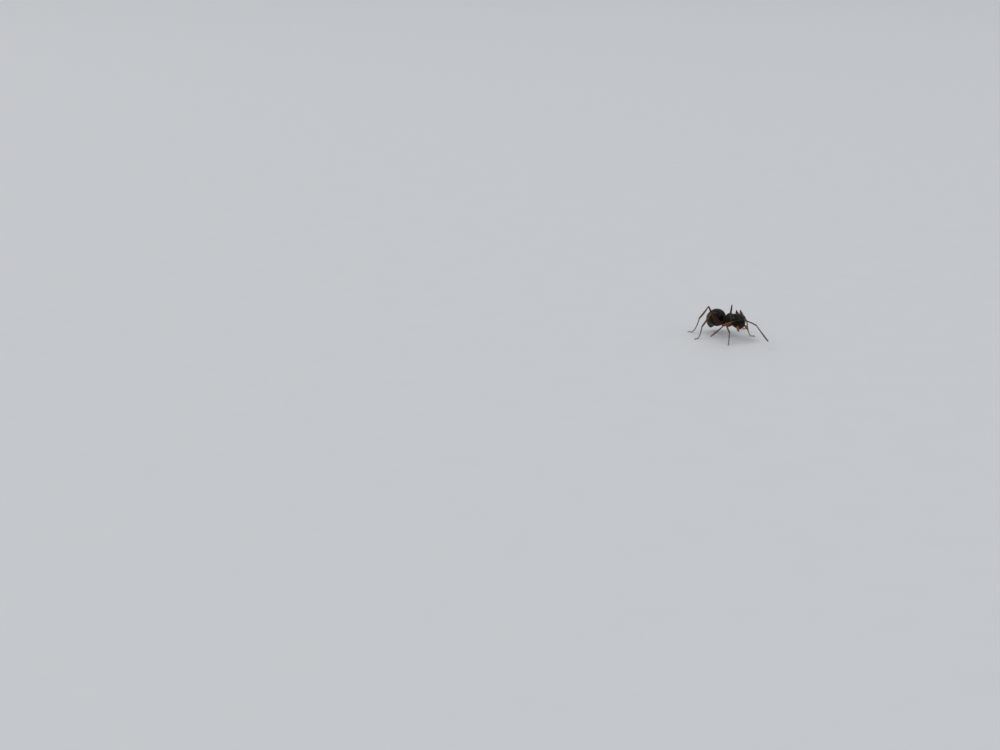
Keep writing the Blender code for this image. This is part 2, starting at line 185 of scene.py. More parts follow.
def stretch(x, start, full, fading, end):
    """0 outside start and end, 1 from full to fading: a ramp up times a ramp down."""
    return ramp(x, start, full) * (1 - ramp(x, fading, end))


def bell(x, width):
    """exp(-(x / width)^2): 1 at nothing, fading to both sides."""
    return np.exp(-np.square(np.asarray(x, float) / width))


def shield(x, y, power=2.5):
    """Height of a low dome with a crisp rim: sqrt(1 - |x|^p - |y|^p), and 0 outside it."""
    return np.sqrt(np.clip(1 - np.abs(x) ** power - np.abs(y) ** power, 0.0, None))


def rows_and_columns(rows, columns):
    """Shares from 0 to 1 down the rows, crowded at both ends, and angles round each row."""
    share = 0.5 - 0.5 * np.cos(np.linspace(0.04, math.pi - 0.04, rows))
    angle = np.linspace(0.0, TURN, columns, endpoint=False)
    return share[:, None], angle[None, :]


def ball(rows, columns, blunt=1.0):
    """A unit ball in rows round its first axis: cos(p), sin(p)^blunt cos(a), sin(p) sin(a)."""
    share, angle = rows_and_columns(rows, columns)
    polar = share * math.pi
    return (np.cos(polar) + 0 * angle, np.sin(polar) ** blunt * np.cos(angle),
            np.sin(polar) * np.sin(angle))


def run_along(line):
    """How far along a line each of its points lies."""
    return np.concatenate([[0.0], np.cumsum(np.linalg.norm(np.diff(line, axis=0), axis=1))])


def places_at(wanted, run, line):
    """Places on a line at the wanted distances; run gives its own points' distances."""
    return np.stack([np.interp(wanted, run, column) for column in line.T], axis=-1)


def size_mm(places):
    """Extent along each axis of an array of places, rounded to be printed."""
    return np.ptp(np.asarray(places).reshape(-1, 3), axis=0).round(3)


def normals_of(skin):
    """Unit normals of a skin: the cross product of its slopes, pointing away from its middle."""
    down = np.gradient(skin, axis=0)
    around = np.roll(skin, -1, axis=1) - np.roll(skin, 1, axis=1)
    normals = unit(np.cross(down, around))
    spine = skin.mean(axis=1, keepdims=True)
    return normals * np.sign(np.sum(normals * (skin - spine), axis=-1).mean())


def raised(skin, height):
    """The skin with each point moved along its normal by its own height."""
    return skin + normals_of(skin) * height[..., None]


# %% A skin becomes a mesh
def grid_faces(rows, columns):
    """Quads between neighbouring rows, and a fan of triangles to a pole at each end."""
    row, column = np.meshgrid(np.arange(rows - 1), np.arange(columns), indexing="ij")
    here = row * columns + column
    beside = row * columns + (column + 1) % columns
    quads = np.stack([here, beside, beside + columns, here + columns], axis=-1).reshape(-1, 4)
    first, following = np.arange(columns), (np.arange(columns) + 1) % columns
    last = (rows - 1) * columns
    pole = rows * columns
    fans = np.concatenate([
        np.stack([following, first, np.full(columns, pole)], axis=-1),
        np.stack([last + first, last + following, np.full(columns, pole + 1)], axis=-1),
    ])
    return quads, fans


def volume_of(points, faces):
    """Signed volume: sixth parts of p0 . (p1 x p2), added up over a fan in each face."""
    total = 0.0
    for k in range(1, faces.shape[1] - 1):
        a, b, c = points[faces[:, 0]], points[faces[:, k]], points[faces[:, k + 1]]
        total += np.einsum("ij,ij->i", a, np.cross(b, c)).sum() / 6
    return total


def mesh_from(name, points, quads, triangles, tones):
    """One mesh from points in millimetres, its faces, and a tone for each of its points."""
    mesh = bpy.data.meshes.new(name)
    loops = np.concatenate([quads.ravel(), triangles.ravel()]).astype(np.int32)
    sizes = np.concatenate([np.full(len(quads), 4), np.full(len(triangles), 3)])
    starts = np.concatenate([[0], np.cumsum(sizes)[:-1]]).astype(np.int32)
    mesh.vertices.add(len(points))
    mesh.vertices.foreach_set("co", (points * MM).astype(np.float32).ravel())
    mesh.loops.add(len(loops))
    mesh.loops.foreach_set("vertex_index", loops)
    mesh.polygons.add(len(sizes))
    mesh.polygons.foreach_set("loop_start", starts)
    mesh.update(calc_edges=True)
    mesh.shade_smooth()
    tone_layer = mesh.attributes.new("tone", "FLOAT", "POINT")
    tone_layer.data.foreach_set("value", tones.astype(np.float32).ravel())
    return mesh


# %% A piece of the ant
def closed_skin(skin, tone):
    """Points, quads, triangles and tones of one skin, its poles added and turned outwards. The
    tone is one number, one for each row or one for each point."""
    rows, columns = skin.shape[:2]
    tone = np.asarray(tone, float)
    tone = tone[:, None] if tone.ndim == 1 else tone
    points = np.concatenate([skin.reshape(-1, 3), skin[0].mean(0)[None], skin[-1].mean(0)[None]])
    quads, fans = grid_faces(rows, columns)
    if volume_of(points - points.mean(0), quads) < 0:
        quads, fans = quads[:, ::-1], fans[:, ::-1]
    tones = np.broadcast_to(tone, (rows, columns))
    tones = np.concatenate([tones.ravel(), [tones[0].mean(), tones[-1].mean()]])
    return points, quads, fans, tones


def riding(name, mesh, finish):
    """An object that shows the mesh in that finish and belongs to the ant's one body."""
    mesh.materials.append(finish)
    made = placed(name, mesh)
    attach(made, "root")
    return made


def piece(name, skins, finish, stands_for=()):
    """One object of one or more closed skins; each skin is (array of points, tone)."""
    parts, offset = [], 0
    for skin, tone in skins:
        points, quads, fans, tones = closed_skin(skin, tone)
        parts.append((points, quads + offset, fans + offset, tones))
        offset += len(points)
    points, quads, fans, tones = (np.concatenate(column) for column in zip(*parts))
    made = riding(name, mesh_from(name, points, quads, fans, tones), finish)
    if stands_for:
        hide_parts(*stands_for)
    return made


# %% [markdown]
# ## Finishes
#
# An ant's shell is chitin: nearly black and polished where it is thick, and brown to amber where
# it is thin and light comes through, as in the legs, the feelers and the jaws. Under a lens it is
# never quite smooth, but netted by lines finer than a hundredth of a millimetre and shallowly
# dented. Painted textures could show that too, but patterns worked out from a piece's own
# coordinates stay sharp however near one looks. The finishes are made of the same few nodes, so a
# small class lets the shader's sums be written as ordinary Python.

# %% Shader sums as Python
def math_node(operation, reflected=False):
    """A method that adds one Math node; the reflected form swaps its two inputs."""
    def method(self, other):
        pair = (other, self) if reflected else (self, other)
        return self.finish.node("Math", {"operation": operation}, n0=pair[0], n1=pair[1])
    return method


class Wire:
    """A number or colour on its way through a shader; + - * make Math nodes."""

    def __init__(self, finish, socket):
        self.finish, self.socket = finish, socket

    __add__, __radd__ = math_node("ADD"), math_node("ADD", True)
    __sub__, __rsub__ = math_node("SUBTRACT"), math_node("SUBTRACT", True)
    __mul__, __rmul__ = math_node("MULTIPLY"), math_node("MULTIPLY", True)


# %% A material under construction
class Finish:
    """A material under construction: node() adds a node, and plug() joins or sets a socket."""

    def __init__(self, name, **constants):
        self.material = bpy.data.materials.new(name)
        self.material.use_nodes = True
        self.tree = self.material.node_tree
        self.shader = self.tree.nodes["Principled BSDF"]
        self.plug_all(self.shader, constants)

    def plug(self, value, socket):
        """Joins a Wire to the socket, or sets its value; a colour gets its fourth number."""
        if isinstance(value, Wire):
            self.tree.links.new(value.socket, socket)
        else:
            socket.default_value = (*value, 1.0) if isinstance(value, tuple) else value

    def plug_all(self, node, sockets):
        """Sockets by name, with _ for a space, or by number, as n0 for the first."""
        for key, value in sockets.items():
            place = int(key[1:]) if key[1:].isdigit() else key.replace("_", " ")
            self.plug(value, node.inputs[place])

    def node(self, kind, settings=None, output=0, **sockets):
        """A node of that kind, its settings first, then its sockets."""
        made = self.tree.nodes.new("ShaderNode" + kind)
        for key, value in (settings or {}).items():
            setattr(made, key, value)
        self.plug_all(made, sockets)
        return Wire(self, made.outputs[output])

    def places(self):
        """Object coordinates, in millimetres."""
        metres = self.node("TexCoord", output=3)
        return self.node("VectorMath", {"operation": "SCALE"}, Vector=metres, Scale=1 / MM)

    def tone(self):
        """The value that the mesh carries for this finish."""
        return self.node("Attribute", {"attribute_name": "tone"}, output=2)

    def noise(self, places, scale, detail=3.0):
        """Cloudy noise from 0 to 1, scale clouds to a millimetre."""
        return self.node("TexNoise", Vector=places, Scale=scale, Detail=detail)

    def netting(self, places, scale):
        """Distance to the nearest line of a net of cells: 0 on a line."""
        return self.node("TexVoronoi", {"feature": "DISTANCE_TO_EDGE"}, Vector=places, Scale=scale)

    def blend(self, share, first, second):
        """A colour between two colours, each given or computed."""
        return self.node("Mix", {"data_type": "RGBA"}, output=2, n0=share, n6=first, n7=second)

    def bump(self, height, depth):
        """Normals dented by a height that runs from 0 to 1, depth given in millimetres."""
        return self.node("Bump", Height=height, Distance=depth * MM, Strength=1.0)

    def finished(self, **sockets):
        """The material, once the last wires are plugged into its shader."""
        self.plug_all(self.shader, sockets)
        return self.material


# %% The finishes
NET_LINE = 0.18  # how wide the net's lines are, as a share of a cell


def shell_finish(name, deep, thin, net, depth, rough):
    """Polished chitin: deep where the mesh's tone is 0, thin where it is 1, netted and mottled."""
    finish = Finish(name, Coat_Roughness=0.15, Coat_IOR=1.5, Specular_IOR_Level=0.095)
    places = finish.places()
    mottle = finish.noise(places, 9.0)
    lines = finish.node("MapRange", Value=finish.netting(places, net), From_Max=NET_LINE)
    dents = finish.noise(places, net * 0.35, 2.0)
    colour = finish.blend(finish.tone(), deep, thin)
    lighter = finish.blend(0.35, colour, thin)
    colour = finish.blend(mottle * 0.35, colour, lighter)
    height = lines * 0.6 + dents * 0.8  # the net, and shallow dents
    return finish.finished(
        Base_Color=colour, Roughness=rough + mottle * 0.14, Coat_Weight=0.11 - mottle * 0.09,
        Normal=finish.bump(height, depth))


def eye_finish():
    """Black glass with a faint brown depth."""
    finish = Finish("eye_lenses", Coat_Roughness=0.08, Specular_IOR_Level=0.20)
    mottle = finish.noise(finish.places(), 14.0)
    colour = finish.blend(finish.tone(), (0.006, 0.005, 0.006), (0.022, 0.014, 0.010))
    return finish.finished(Base_Color=colour, Roughness=0.16 + mottle * 0.12, Coat_Weight=0.08)


def hair_finish(name, root, tip):
    """Brown hair, paler towards its tip."""
    finish = Finish(name, Specular_IOR_Level=0.14)
    mottle = finish.noise(finish.places(), 5.0)
    colour = finish.blend(finish.tone(), root, tip)
    return finish.finished(Base_Color=colour, Roughness=0.38 + mottle * 0.2)


SHELLS = {  # colour where deep and where thin, cells of the net per mm, its depth in mm, roughness
    "jet": ((0.0022, 0.0016, 0.0017), (0.042, 0.016, 0.010), 55.0, 0.0008, 0.20),
    "gaster": ((0.0052, 0.0034, 0.0028), (0.060, 0.036, 0.022), 45.0, 0.0009, 0.21),
    "mouth": ((0.012, 0.006, 0.005), (0.12, 0.040, 0.020), 40.0, 0.0010, 0.28),
    "mandible": ((0.016, 0.007, 0.004), (0.225, 0.080, 0.033), 35.0, 0.0012, 0.30),
    "coxa": ((0.010, 0.005, 0.0036), (0.310, 0.088, 0.033), 40.0, 0.0010, 0.30),
    "leg": ((0.024, 0.012, 0.007), (0.335, 0.162, 0.058), 40.0, 0.0012, 0.32),
    "foot": ((0.050, 0.034, 0.026), (0.20, 0.145, 0.105), 40.0, 0.0010, 0.36),
    "feeler": ((0.030, 0.013, 0.008), (0.285, 0.112, 0.045), 45.0, 0.0013, 0.34),
}
JET, GASTER, MOUTH, MANDIBLE, COXA, LEG, FOOT, FEELER = (
    shell_finish(name + "_shell", *look) for name, look in SHELLS.items())
EYE = eye_finish()
HAIR = hair_finish("hair", (0.022, 0.013, 0.009), (0.115, 0.078, 0.050))
LIMB_HAIR = hair_finish("limb_hair", (0.045, 0.024, 0.013), (0.190, 0.122, 0.070))
print("finishes:", len(bpy.data.materials))

# %% [markdown]
# ## The head
#
# Seen from the front a worker's head is a rounded heart. It is widest behind the eyes, hollow at
# the nape, and narrower at the mouth, where the face plate, the clypeus, bulges between the feet
# of the two feelers. The head is laid out slice by slice from nape to mouth. Each slice is an oval
# a little fuller than an ellipse. On it are raised and sunk the forms that a collector would name:
# clypeus and its keel, the two frontal ridges, the sockets of the feelers, the rims of the eyes,
# three small eyes on the crown, and the lip and palp plates underneath. A ball pushed into shape
# would do for the outline, but slices take their widths straight from a formula.

# %% Head outline
HEAD_LENGTH, HEAD_HALF_WIDTH, HEAD_HALF_DEPTH = 1.17, 0.583, 0.434
EYE_HALVES = (0.15, 0.083, 0.118)  # half axes along the head, out of its side, up its face
NAPE_HOLLOW, MOUTH_REACH = 0.07, 0.05  # how deep the nape is hollow, how far the mouth domes
MOUTH_SLICES = 16


def head_skin(rows=190, columns=220):
    """Half width W sin(pi (.88 s)^.68)^.5 and half depth D sin(pi (.03 + .85 s))^.5 at the
    share s from nape to mouth; past the mouth each slice shrinks as the cosine of q."""
    share, angle = rows_and_columns(rows, columns)
    share = np.concatenate([share, np.ones((MOUTH_SLICES, 1))])
    q = np.linspace(0.06, 0.98, MOUTH_SLICES)[:, None] * math.pi / 2
    q = np.concatenate([np.zeros((rows, 1)), q])
    wide = HEAD_HALF_WIDTH * np.sin(math.pi * (0.88 * share) ** 0.68) ** 0.5 * np.cos(q)
    deep = HEAD_HALF_DEPTH * np.sin(math.pi * (0.03 + 0.85 * share)) ** 0.5 * np.cos(q)
    right = np.sign(np.cos(angle)) * np.abs(np.cos(angle)) ** 0.88 * wide
    out = np.sign(np.sin(angle)) * np.abs(np.sin(angle)) ** 0.88 * deep
    hollow = NAPE_HOLLOW * (1 - (right / HEAD_HALF_WIDTH) ** 2) * np.exp(-share / 0.12)
    along = (share - 0.5) * HEAD_LENGTH + MOUTH_REACH * np.sin(q) + hollow
    return on_head(along, right, out)


# %% Where joints lie in the solids
def node_points(node):
    """Every corner of a CAD node's mesh once, in millimetres."""
    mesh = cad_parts[node].data
    flat = np.empty(len(mesh.vertices) * 3, np.float32)
    mesh.vertices.foreach_get("co", flat)
    return np.unique((flat.reshape(-1, 3) / MM).round(4), axis=0)


def far_end(points, start, depth=0.06):
    """Middle of the points that lie farthest from start, within that depth of the farthest."""
    distance = np.linalg.norm(points - start, axis=1)
    return points[distance > distance.max() - depth].mean(0)


def meeting(first, second, reach=0.045):
    """Where two limb nodes face each other: the middle of the corners within reach."""
    a, b = node_points(first), node_points(second)
    gap = np.linalg.norm(a[:, None] - b[None], axis=-1)
    return (a[gap.min(1) < reach].mean(0) + b[gap.min(0) < reach].mean(0)) / 2


DRAWN_IN = 0.175  # how far the cast knees and elbows lie inside the living ones


def living_joint(before, solid, after):
    """The cast joint moved outwards: along u(joint - before) + u(joint - after), by steps."""
    joint = solid
    for _ in range(4):
        joint = solid + DRAWN_IN * unit(unit(joint - before) + unit(joint - after))
    return joint


SOCKET_PLACE = (0.27, 0.19, 0.36)  # along the head, out to the side, up out of the face
SOCKETS = {side: on_head(SOCKET_PLACE[0], sign * SOCKET_PLACE[1], SOCKET_PLACE[2])
           for side, sign in SIDES.items()}


def feeler_places(side):
    """Socket, elbow and tip of one feeler."""
    solid = meeting(f"antenna_{side}_scape", f"antenna_{side}_flagellum")
    tip = far_end(node_points(f"antenna_{side}_flagellum"), solid)
    return SOCKETS[side], living_joint(SOCKETS[side], solid, tip), tip


FEELER_PLACES = {side: feeler_places(side) for side in SIDES}
for side, (socket, elbow, tip) in FEELER_PLACES.items():
    print(side, "scape and lash, mm:", np.linalg.norm(elbow - socket).round(3),
          np.linalg.norm(tip - elbow).round(3))


# %% Relief of the face
SIMPLE_EYES = ((-0.335, 0.0), (-0.405, 0.075), (-0.405, -0.075))  # along the head, to its right


def eye_distance(along, out):
    """Distance from an eye's middle, seen from the side, as a share of the eye's own oval."""
    return np.hypot((along - EYE_PLACE[0]) / EYE_HALVES[0], (out - EYE_PLACE[2]) / EYE_HALVES[2])


def face_relief(points):
    """Sum of the named forms, each a height in millimetres over the smooth head."""
    along, right, out = head_terms(points)
    side = np.abs(right)
    face = ramp(out, -0.02, 0.12)
    under = 1 - face
    # The clypeus and its keel.
    height = 0.038 * shield((along - 0.43) / 0.22, right / 0.28) * face
    height += 0.010 * bell(right, 0.022) * ramp(along, 0.28, 0.40) * face
    # The frontal ridges, which lean apart towards the crown, and the furrow between them.
    lean = 0.13 + 0.20 * (0.22 - along)
    ridges = stretch(along, -0.06, 0.04, 0.20, 0.27)
    height += 0.026 * bell(side - lean, 0.020) * ridges * face
    furrow = stretch(along, -0.40, -0.20, 0.1, 0.2)
    height -= 0.007 * bell(right, 0.012) * furrow * face
    # A rim and a pit at the socket of each feeler.
    for root in SOCKETS.values():
        away = np.linalg.norm(points - root, axis=-1)
        height += 0.011 * bell(away - 0.082, 0.020) - 0.034 * bell(away, 0.052)
    # A rim and a groove round each eye, and the three simple eyes.
    away = eye_distance(along, out)
    rim = 0.004 * bell(away - 1.22, 0.08) - 0.010 * bell(away - 1.03, 0.06)
    height += rim * ramp(side, 0.30, 0.42)
    for place in SIMPLE_EYES:
        away = np.hypot(along - place[0], right - place[1])
        height += (0.013 * bell(away, 0.020) - 0.004 * bell(away - 0.034, 0.008)) * face
    # Underneath, the plate of the palps with a seam down its middle and one on each side.
    height += 0.022 * shield((along - 0.40) / 0.26, right / 0.15) * under
    height -= 0.010 * bell(right, 0.010) * under
    height -= 0.010 * bell(side - 0.075, 0.008) * under * ramp(along, 0.14, 0.24)
    return height


# %% Build the head
smooth_head = head_skin()
head_grid = raised(smooth_head, face_relief(smooth_head))
along, right, _ = head_terms(head_grid)
head_tone = 0.60 * ramp(along, 0.53, 0.68)
head_tone += 0.25 * bell(np.abs(right) - 0.30, 0.10) * ramp(along, 0.35, 0.6)
piece("head_capsule", [(head_grid, head_tone)], JET, ("head",))
print("head width, mm:", np.ptp(right).round(3), "length:", np.ptp(along).round(3))

# %% [markdown]
# ## The eyes
#
# Each compound eye is an oval dome of some two hundred lenses. Points spread evenly over a whole
# ball by the golden angle are the middles of the lenses, and the half of the ball that shows has
# half of them. Every point of the dome rises by how near it is to the nearest middle, which makes
# one small dome per lens. That is one closed skin, where hundreds of separate little domes would
# leave gaps between them.

# %% Compound eyes
LENSES, LENS_RISE = 420, 0.0055
LENS_STEP = 3.6 / math.sqrt(LENSES)  # about how far apart the middles lie on a unit ball
GOLDEN = math.pi * (3 - math.sqrt(5))
EYE_LEAN = math.radians(12)


def lens_middles(count):
    """Even places on a unit ball: height 1 - 2(k + .5) / n, turned by the golden angle."""
    k = np.arange(count)
    z = 1 - 2 * (k + 0.5) / count
    flat = np.sqrt(1 - z * z)
    return np.stack([flat * np.cos(GOLDEN * k), flat * np.sin(GOLDEN * k), z], axis=-1)


def eye_skin(sign, rows=110, columns=150):
    """An ellipsoid on the CAD eye's own half axes, its outer side leaning up by EYE_LEAN; each
    point rises by LENS_RISE (1 - 1.6 d^2), d being its distance to a lens's middle in steps."""
    dome = np.stack(ball(rows, columns), axis=-1)
    nearest = np.full(dome.shape[:2], 2.0)
    for centre in lens_middles(LENSES):
        nearest = np.minimum(nearest, np.linalg.norm(dome - centre, axis=-1))
    rise = LENS_RISE * (1 - 1.6 * np.clip(nearest / LENS_STEP, 0, 1) ** 2)
    ahead, outward, upward = (dome * EYE_HALVES).transpose(2, 0, 1)
    right = outward * math.cos(EYE_LEAN) + upward * math.sin(EYE_LEAN)
    out = upward * math.cos(EYE_LEAN) - outward * math.sin(EYE_LEAN)
    skin = on_head(EYE_PLACE[0] + ahead, sign * (EYE_PLACE[1] + right), EYE_PLACE[2] + out)
    return raised(skin, rise)


for side, sign in SIDES.items():
    eye = piece("eye_lenses_" + side, [(eye_skin(sign), 0.4)], EYE, ("eye_" + side,))
    print(eye.name, len(eye.data.polygons), "faces")

# %% [markdown]
# ## The jaws
#
# A mandible is a curved, three-cornered blade with a row of teeth on its inner edge, the longest
# at the tip. Its outline is one closed line. The blade is a flattened ball over that outline:
# every ring of the ball is the outline without its teeth, drawn in towards the blade's middle,
# and the thickness follows the circle's half chord. The outermost rings then get the teeth. The
# blade bows back under the head towards its tip. A Solidify modifier on the flat outline would be
# quicker, but it gives a slab with square edges, and a jaw is thick in its middle and keen at its
# rim.

# %% Mandible outline
BLADE_LENGTH, BLADE_ROOT, BLADE_HALF_THICK, TEETH = 0.53, 0.08, 0.063, 6
JAW_ASIDE, JAW_OUT = 0.285, 0.083  # where the blade is hinged, from the middle of the head
JAW_OPENING, JAW_BOW = math.radians(16), 0.10
BLADE_HEEL = (0.46 * BLADE_LENGTH, 0.112)  # along the blade and inwards, where the teeth end
BLADE_BASE = ((0.13, 0.085), (0.06, 0.065), (-0.03, 0.045), (-BLADE_ROOT, 0.03))
BITE = np.array([-0.75, -0.85])  # the way in which the notches between the teeth are cut


def blade_outline(columns):
    """Back edge .155 u^3 - .058 sin(pi u^.8) - .092, then teeth from the tip to the heel.
    Two lines at the same places: one with its teeth, one with that edge smoothed."""
    u = np.linspace(0.0, 1.0, 60)
    curve = 0.155 * u**3 - 0.058 * np.sin(math.pi * u**0.8) - 0.092
    back_edge = np.stack([(BLADE_LENGTH + BLADE_ROOT) * u - BLADE_ROOT,
                          curve * (0.15 + 0.85 * ramp(u, 0.0, 0.30))], -1)
    v = np.linspace(0.0, 1.0, 240)[:, None]
    edge = back_edge[-1] + (np.array(BLADE_HEEL) - back_edge[-1]) * v
    notches = np.sin(math.pi * ((v * TEETH) % 1.0)) ** 0.6 * (0.042 - 0.014 * v)
    smooth = 0.026 * np.sin(math.pi * v) ** 0.7
    lines = [np.concatenate([back_edge, edge + depth * BITE, BLADE_BASE, back_edge[:1]])
             for depth in (notches, smooth)]
    run = run_along(lines[0])
    wanted = np.linspace(0.0, run[-1], columns, endpoint=False)
    return [places_at(wanted, run, line) for line in lines]


# %% Mandible blade
def blade_skin(sign, rows=60, columns=300):
    """Ring t of the ball: middle + cos(t)^.55 (smooth outline - middle), thick by sin(t), and
    the teeth are added in full at the edge, by cos(t)^8 (toothed - smooth)."""
    toothed, smooth = blade_outline(columns)
    heart = np.array([0.16, 0.0])
    t = np.linspace(-0.985, 0.985, rows)[:, None] * math.pi / 2
    circle = np.cos(t)[..., None]
    flat = heart + circle**0.55 * (smooth - heart) + circle**8 * (toothed - smooth)
    length, inwards = flat[..., 0], flat[..., 1]
    thick = BLADE_HALF_THICK * np.sin(t) * (1 - 0.62 * ramp(length, 0.05, BLADE_LENGTH))
    furrows = 0.0016 * np.sin(inwards * 170 + 1.5 * np.sin(length * 9))
    furrows = furrows * np.cos(t) * ramp(length, 0.0, 0.1)
    out = JAW_OUT + thick + furrows * np.sign(t) - JAW_BOW * (length / BLADE_LENGTH) ** 2
    reach = length * math.cos(JAW_OPENING) + inwards * math.sin(JAW_OPENING)
    away = JAW_ASIDE + length * math.sin(JAW_OPENING) - inwards * math.cos(JAW_OPENING)
    skin = on_head(0.5 * HEAD_LENGTH + reach, sign * away, out)
    # Dark along the teeth, at the tip and at the hinge.
    dark = 0.8 * ramp(inwards + 0.16 * length, 0.105, 0.165)
    dark = np.maximum(dark, 0.6 * ramp(length, 0.46, 0.53))
    dark = np.maximum(dark, 0.8 * (1 - ramp(length, -0.02, 0.08)))
    return skin, 0.95 - 0.85 * dark


for side, sign in SIDES.items():
    blade, blade_tone = blade_skin(sign)
    piece("jaw_" + side, [(blade, blade_tone)], MANDIBLE, ("mandible_" + side,))
    print(side, "jaw, mm:", size_mm(blade))

# %% [markdown]
# ## Tubes
#
# Legs, feelers and palps are tubes along a path. At each place on the path stand two directions
# at right angles to it: one is the cross product of the path's direction and a fixed side vector,
# and the other is square to both. A ring of points is laid out on them with the radius wanted
# there. The radius falls to nothing at both ends as the half chord of a circle, which closes the
# tube with round ends. A curve object with a bevel makes tubes too, but not flat ones whose width
# and tone change along them.

# %% Paths and tubes
def crowd(count):
    """Shares from 0 to 1 that crowd towards both ends: t - .75 sin(2 pi t) / (2 pi)."""
    t = np.linspace(0.0, 1.0, count)
    return t - 0.75 * np.sin(TURN * t) / TURN


def tube(path, radius, side, flat=1.0, columns=20):
    """Rings round the path: r cos(a) across it, and r flat sin(a) square to that. Nearer to an
    end than r, at the distance d, the radius is r sqrt(1 - (1 - d / r)^2)."""
    run = run_along(path)
    round_ends = np.ones(len(path))
    for distance, end in ((run, 0), (run[-1] - run, -1)):
        near = np.clip(distance / max(radius[end], 1e-6), 0.0, 1.0)
        round_ends = round_ends * np.sqrt(np.clip(1 - (1 - near) ** 2, 0.0, 1.0))
    radius = np.maximum(radius * round_ends, 1e-5)[:, None]
    direction = unit(np.gradient(path, axis=0))
    across = unit(np.cross(direction, side))
    square = np.cross(across, direction)
    angle = np.linspace(0.0, TURN, columns, endpoint=False)
    return (path[:, None] + (radius * np.cos(angle))[..., None] * across[:, None]
            + (radius * flat * np.sin(angle))[..., None] * square[:, None])


# %% [markdown]
# ## Palps and lip
#
# Below the jaws hang the ant's tasting organs: two pairs of thin jointed palps, the longer pair
# folded down under the head, and the blunt end of the lower lip between them. The upper lip is a
# thin flap under the edge of the face plate. All of them are small, so tubes and balls will do.

# %% Palps and lip
PALP_RADIUS = 0.017
# Where each palp starts on the head, and for each of its joints: (direction), length.
LONG_PALP = ((0.50, 0.13, -0.15),
             [((0.5, 0.7, -0.5), 0.06), ((0.6, 0.4, -0.5), 0.08), ((0.5, 0.1, -0.7), 0.08),
              ((0.3, -0.1, -0.9), 0.07), ((0.0, -0.2, -0.9), 0.07)])
SHORT_PALP = ((0.60, 0.05, -0.18),
              [((0.6, 0.5, -0.6), 0.04), ((0.5, 0.2, -0.8), 0.05), ((0.3, -0.1, -0.9), 0.05)])


def palp_skin(sign, start, joints):
    """A chain of slim segments; the radius swells within each and pinches at each joint."""
    corners = np.array(start) + np.cumsum(
        [(0.0, 0.0, 0.0)] + [length * unit(way) for way, length in joints], axis=0)
    lengths = [length for _, length in joints]
    run = np.concatenate([[0.0], np.cumsum(lengths)]) / sum(lengths)
    share = crowd(90)
    path = places_at(share, run, corners)
    nearest = np.min(np.abs(share[:, None] - run[None, 1:-1]), axis=1)
    radius = PALP_RADIUS * (1.0 - 0.35 * bell(nearest, 0.018)) * (1.05 - 0.25 * share)
    path = on_head(path[:, 0], sign * path[:, 1], path[:, 2])
    return tube(path, radius, HEAD_OUT + 0.3 * HEAD_RIGHT, columns=12)


def lip_skin():
    """A blunt tongue of an ellipsoid, between the jaws and behind them."""
    x, y, z = ball(40, 44)
    return on_head(0.60 + 0.10 * x, 0.10 * y, -0.155 + 0.045 * z)


def upper_lip_skin():
    """The labrum: a thin flap under the front edge of the face plate, bent down forwards."""
    x, y, z = ball(30, 48, blunt=0.8)
    ahead = 0.62 + 0.055 * x
    return on_head(ahead, 0.13 * y, 0.115 + 0.030 * z - 0.4 * (ahead - 0.585))


palps = [(palp_skin(sign, *palp), tone) for sign in SIDES.values()
         for palp, tone in ((LONG_PALP, 0.45), (SHORT_PALP, 0.55))]
piece("palps", palps, FOOT)
piece("lips", [(lip_skin(), 0.35), (upper_lip_skin(), 0.15)], MOUTH)
print("palps:", len(palps))

# %% [markdown]
# ## The trunk
#
# The trunk is three plates that have grown together: the hood of the pronotum behind the head,
# the middle plate, and the lower, rounded hind plate. In the CAD model each is an ellipsoid cut at
# the joins. Here they are one skin. From a line through the trunk's middle a ray goes out in every
# direction to each of the three ellipsoids, and the skin lies at the greatest of the three
# distances. A sum of their high powers stands in for the greatest, which rounds the creases
# between the plates, while a Boolean union would leave them as hard edges. Grooves and steps are
# then laid along the joins.

# %% Rays to three ellipsoids
PRONOTUM = dict(centre=(1.93, 1.43), halves=(0.37, 0.41, 0.43), pitch=14)
MESOTHORAX = dict(centre=(1.66, 1.40), halves=(0.42, 0.36, 0.45), pitch=0)
PROPODEUM = dict(centre=(1.41, 1.28), halves=(0.35, 0.335, 0.39), pitch=-8)
COLLAR = ((1.82, 1.42), 12)  # a place on the join and its forward lean in degrees
WAIST = ((1.50, 1.32), -14)
BREATHING_HOLES = (((1.27, 1.355), 0.028), ((1.50, 1.63), 0.020), ((1.79, 1.38), 0.020))
CREASE_POWER = 26  # the higher, the sharper the creases between the plates


def end_of(plate, sign):
    """Foremost or hindmost place of a tilted ellipse: sqrt(l^2 cos^2 + h^2 sin^2) ahead of its
    centre, and (l^2 - h^2) sin cos over that above it."""
    tilt = math.radians(plate["pitch"])
    length, _, height = plate["halves"]
    ahead = math.hypot(length * math.cos(tilt), height * math.sin(tilt))
    rise = (length**2 - height**2) * math.sin(tilt) * math.cos(tilt) / ahead
    return plate["centre"][0] + sign * ahead, plate["centre"][1] + sign * rise


TRUNK_FRONT, TRUNK_REAR = end_of(PRONOTUM, 1), end_of(PROPODEUM, -1)


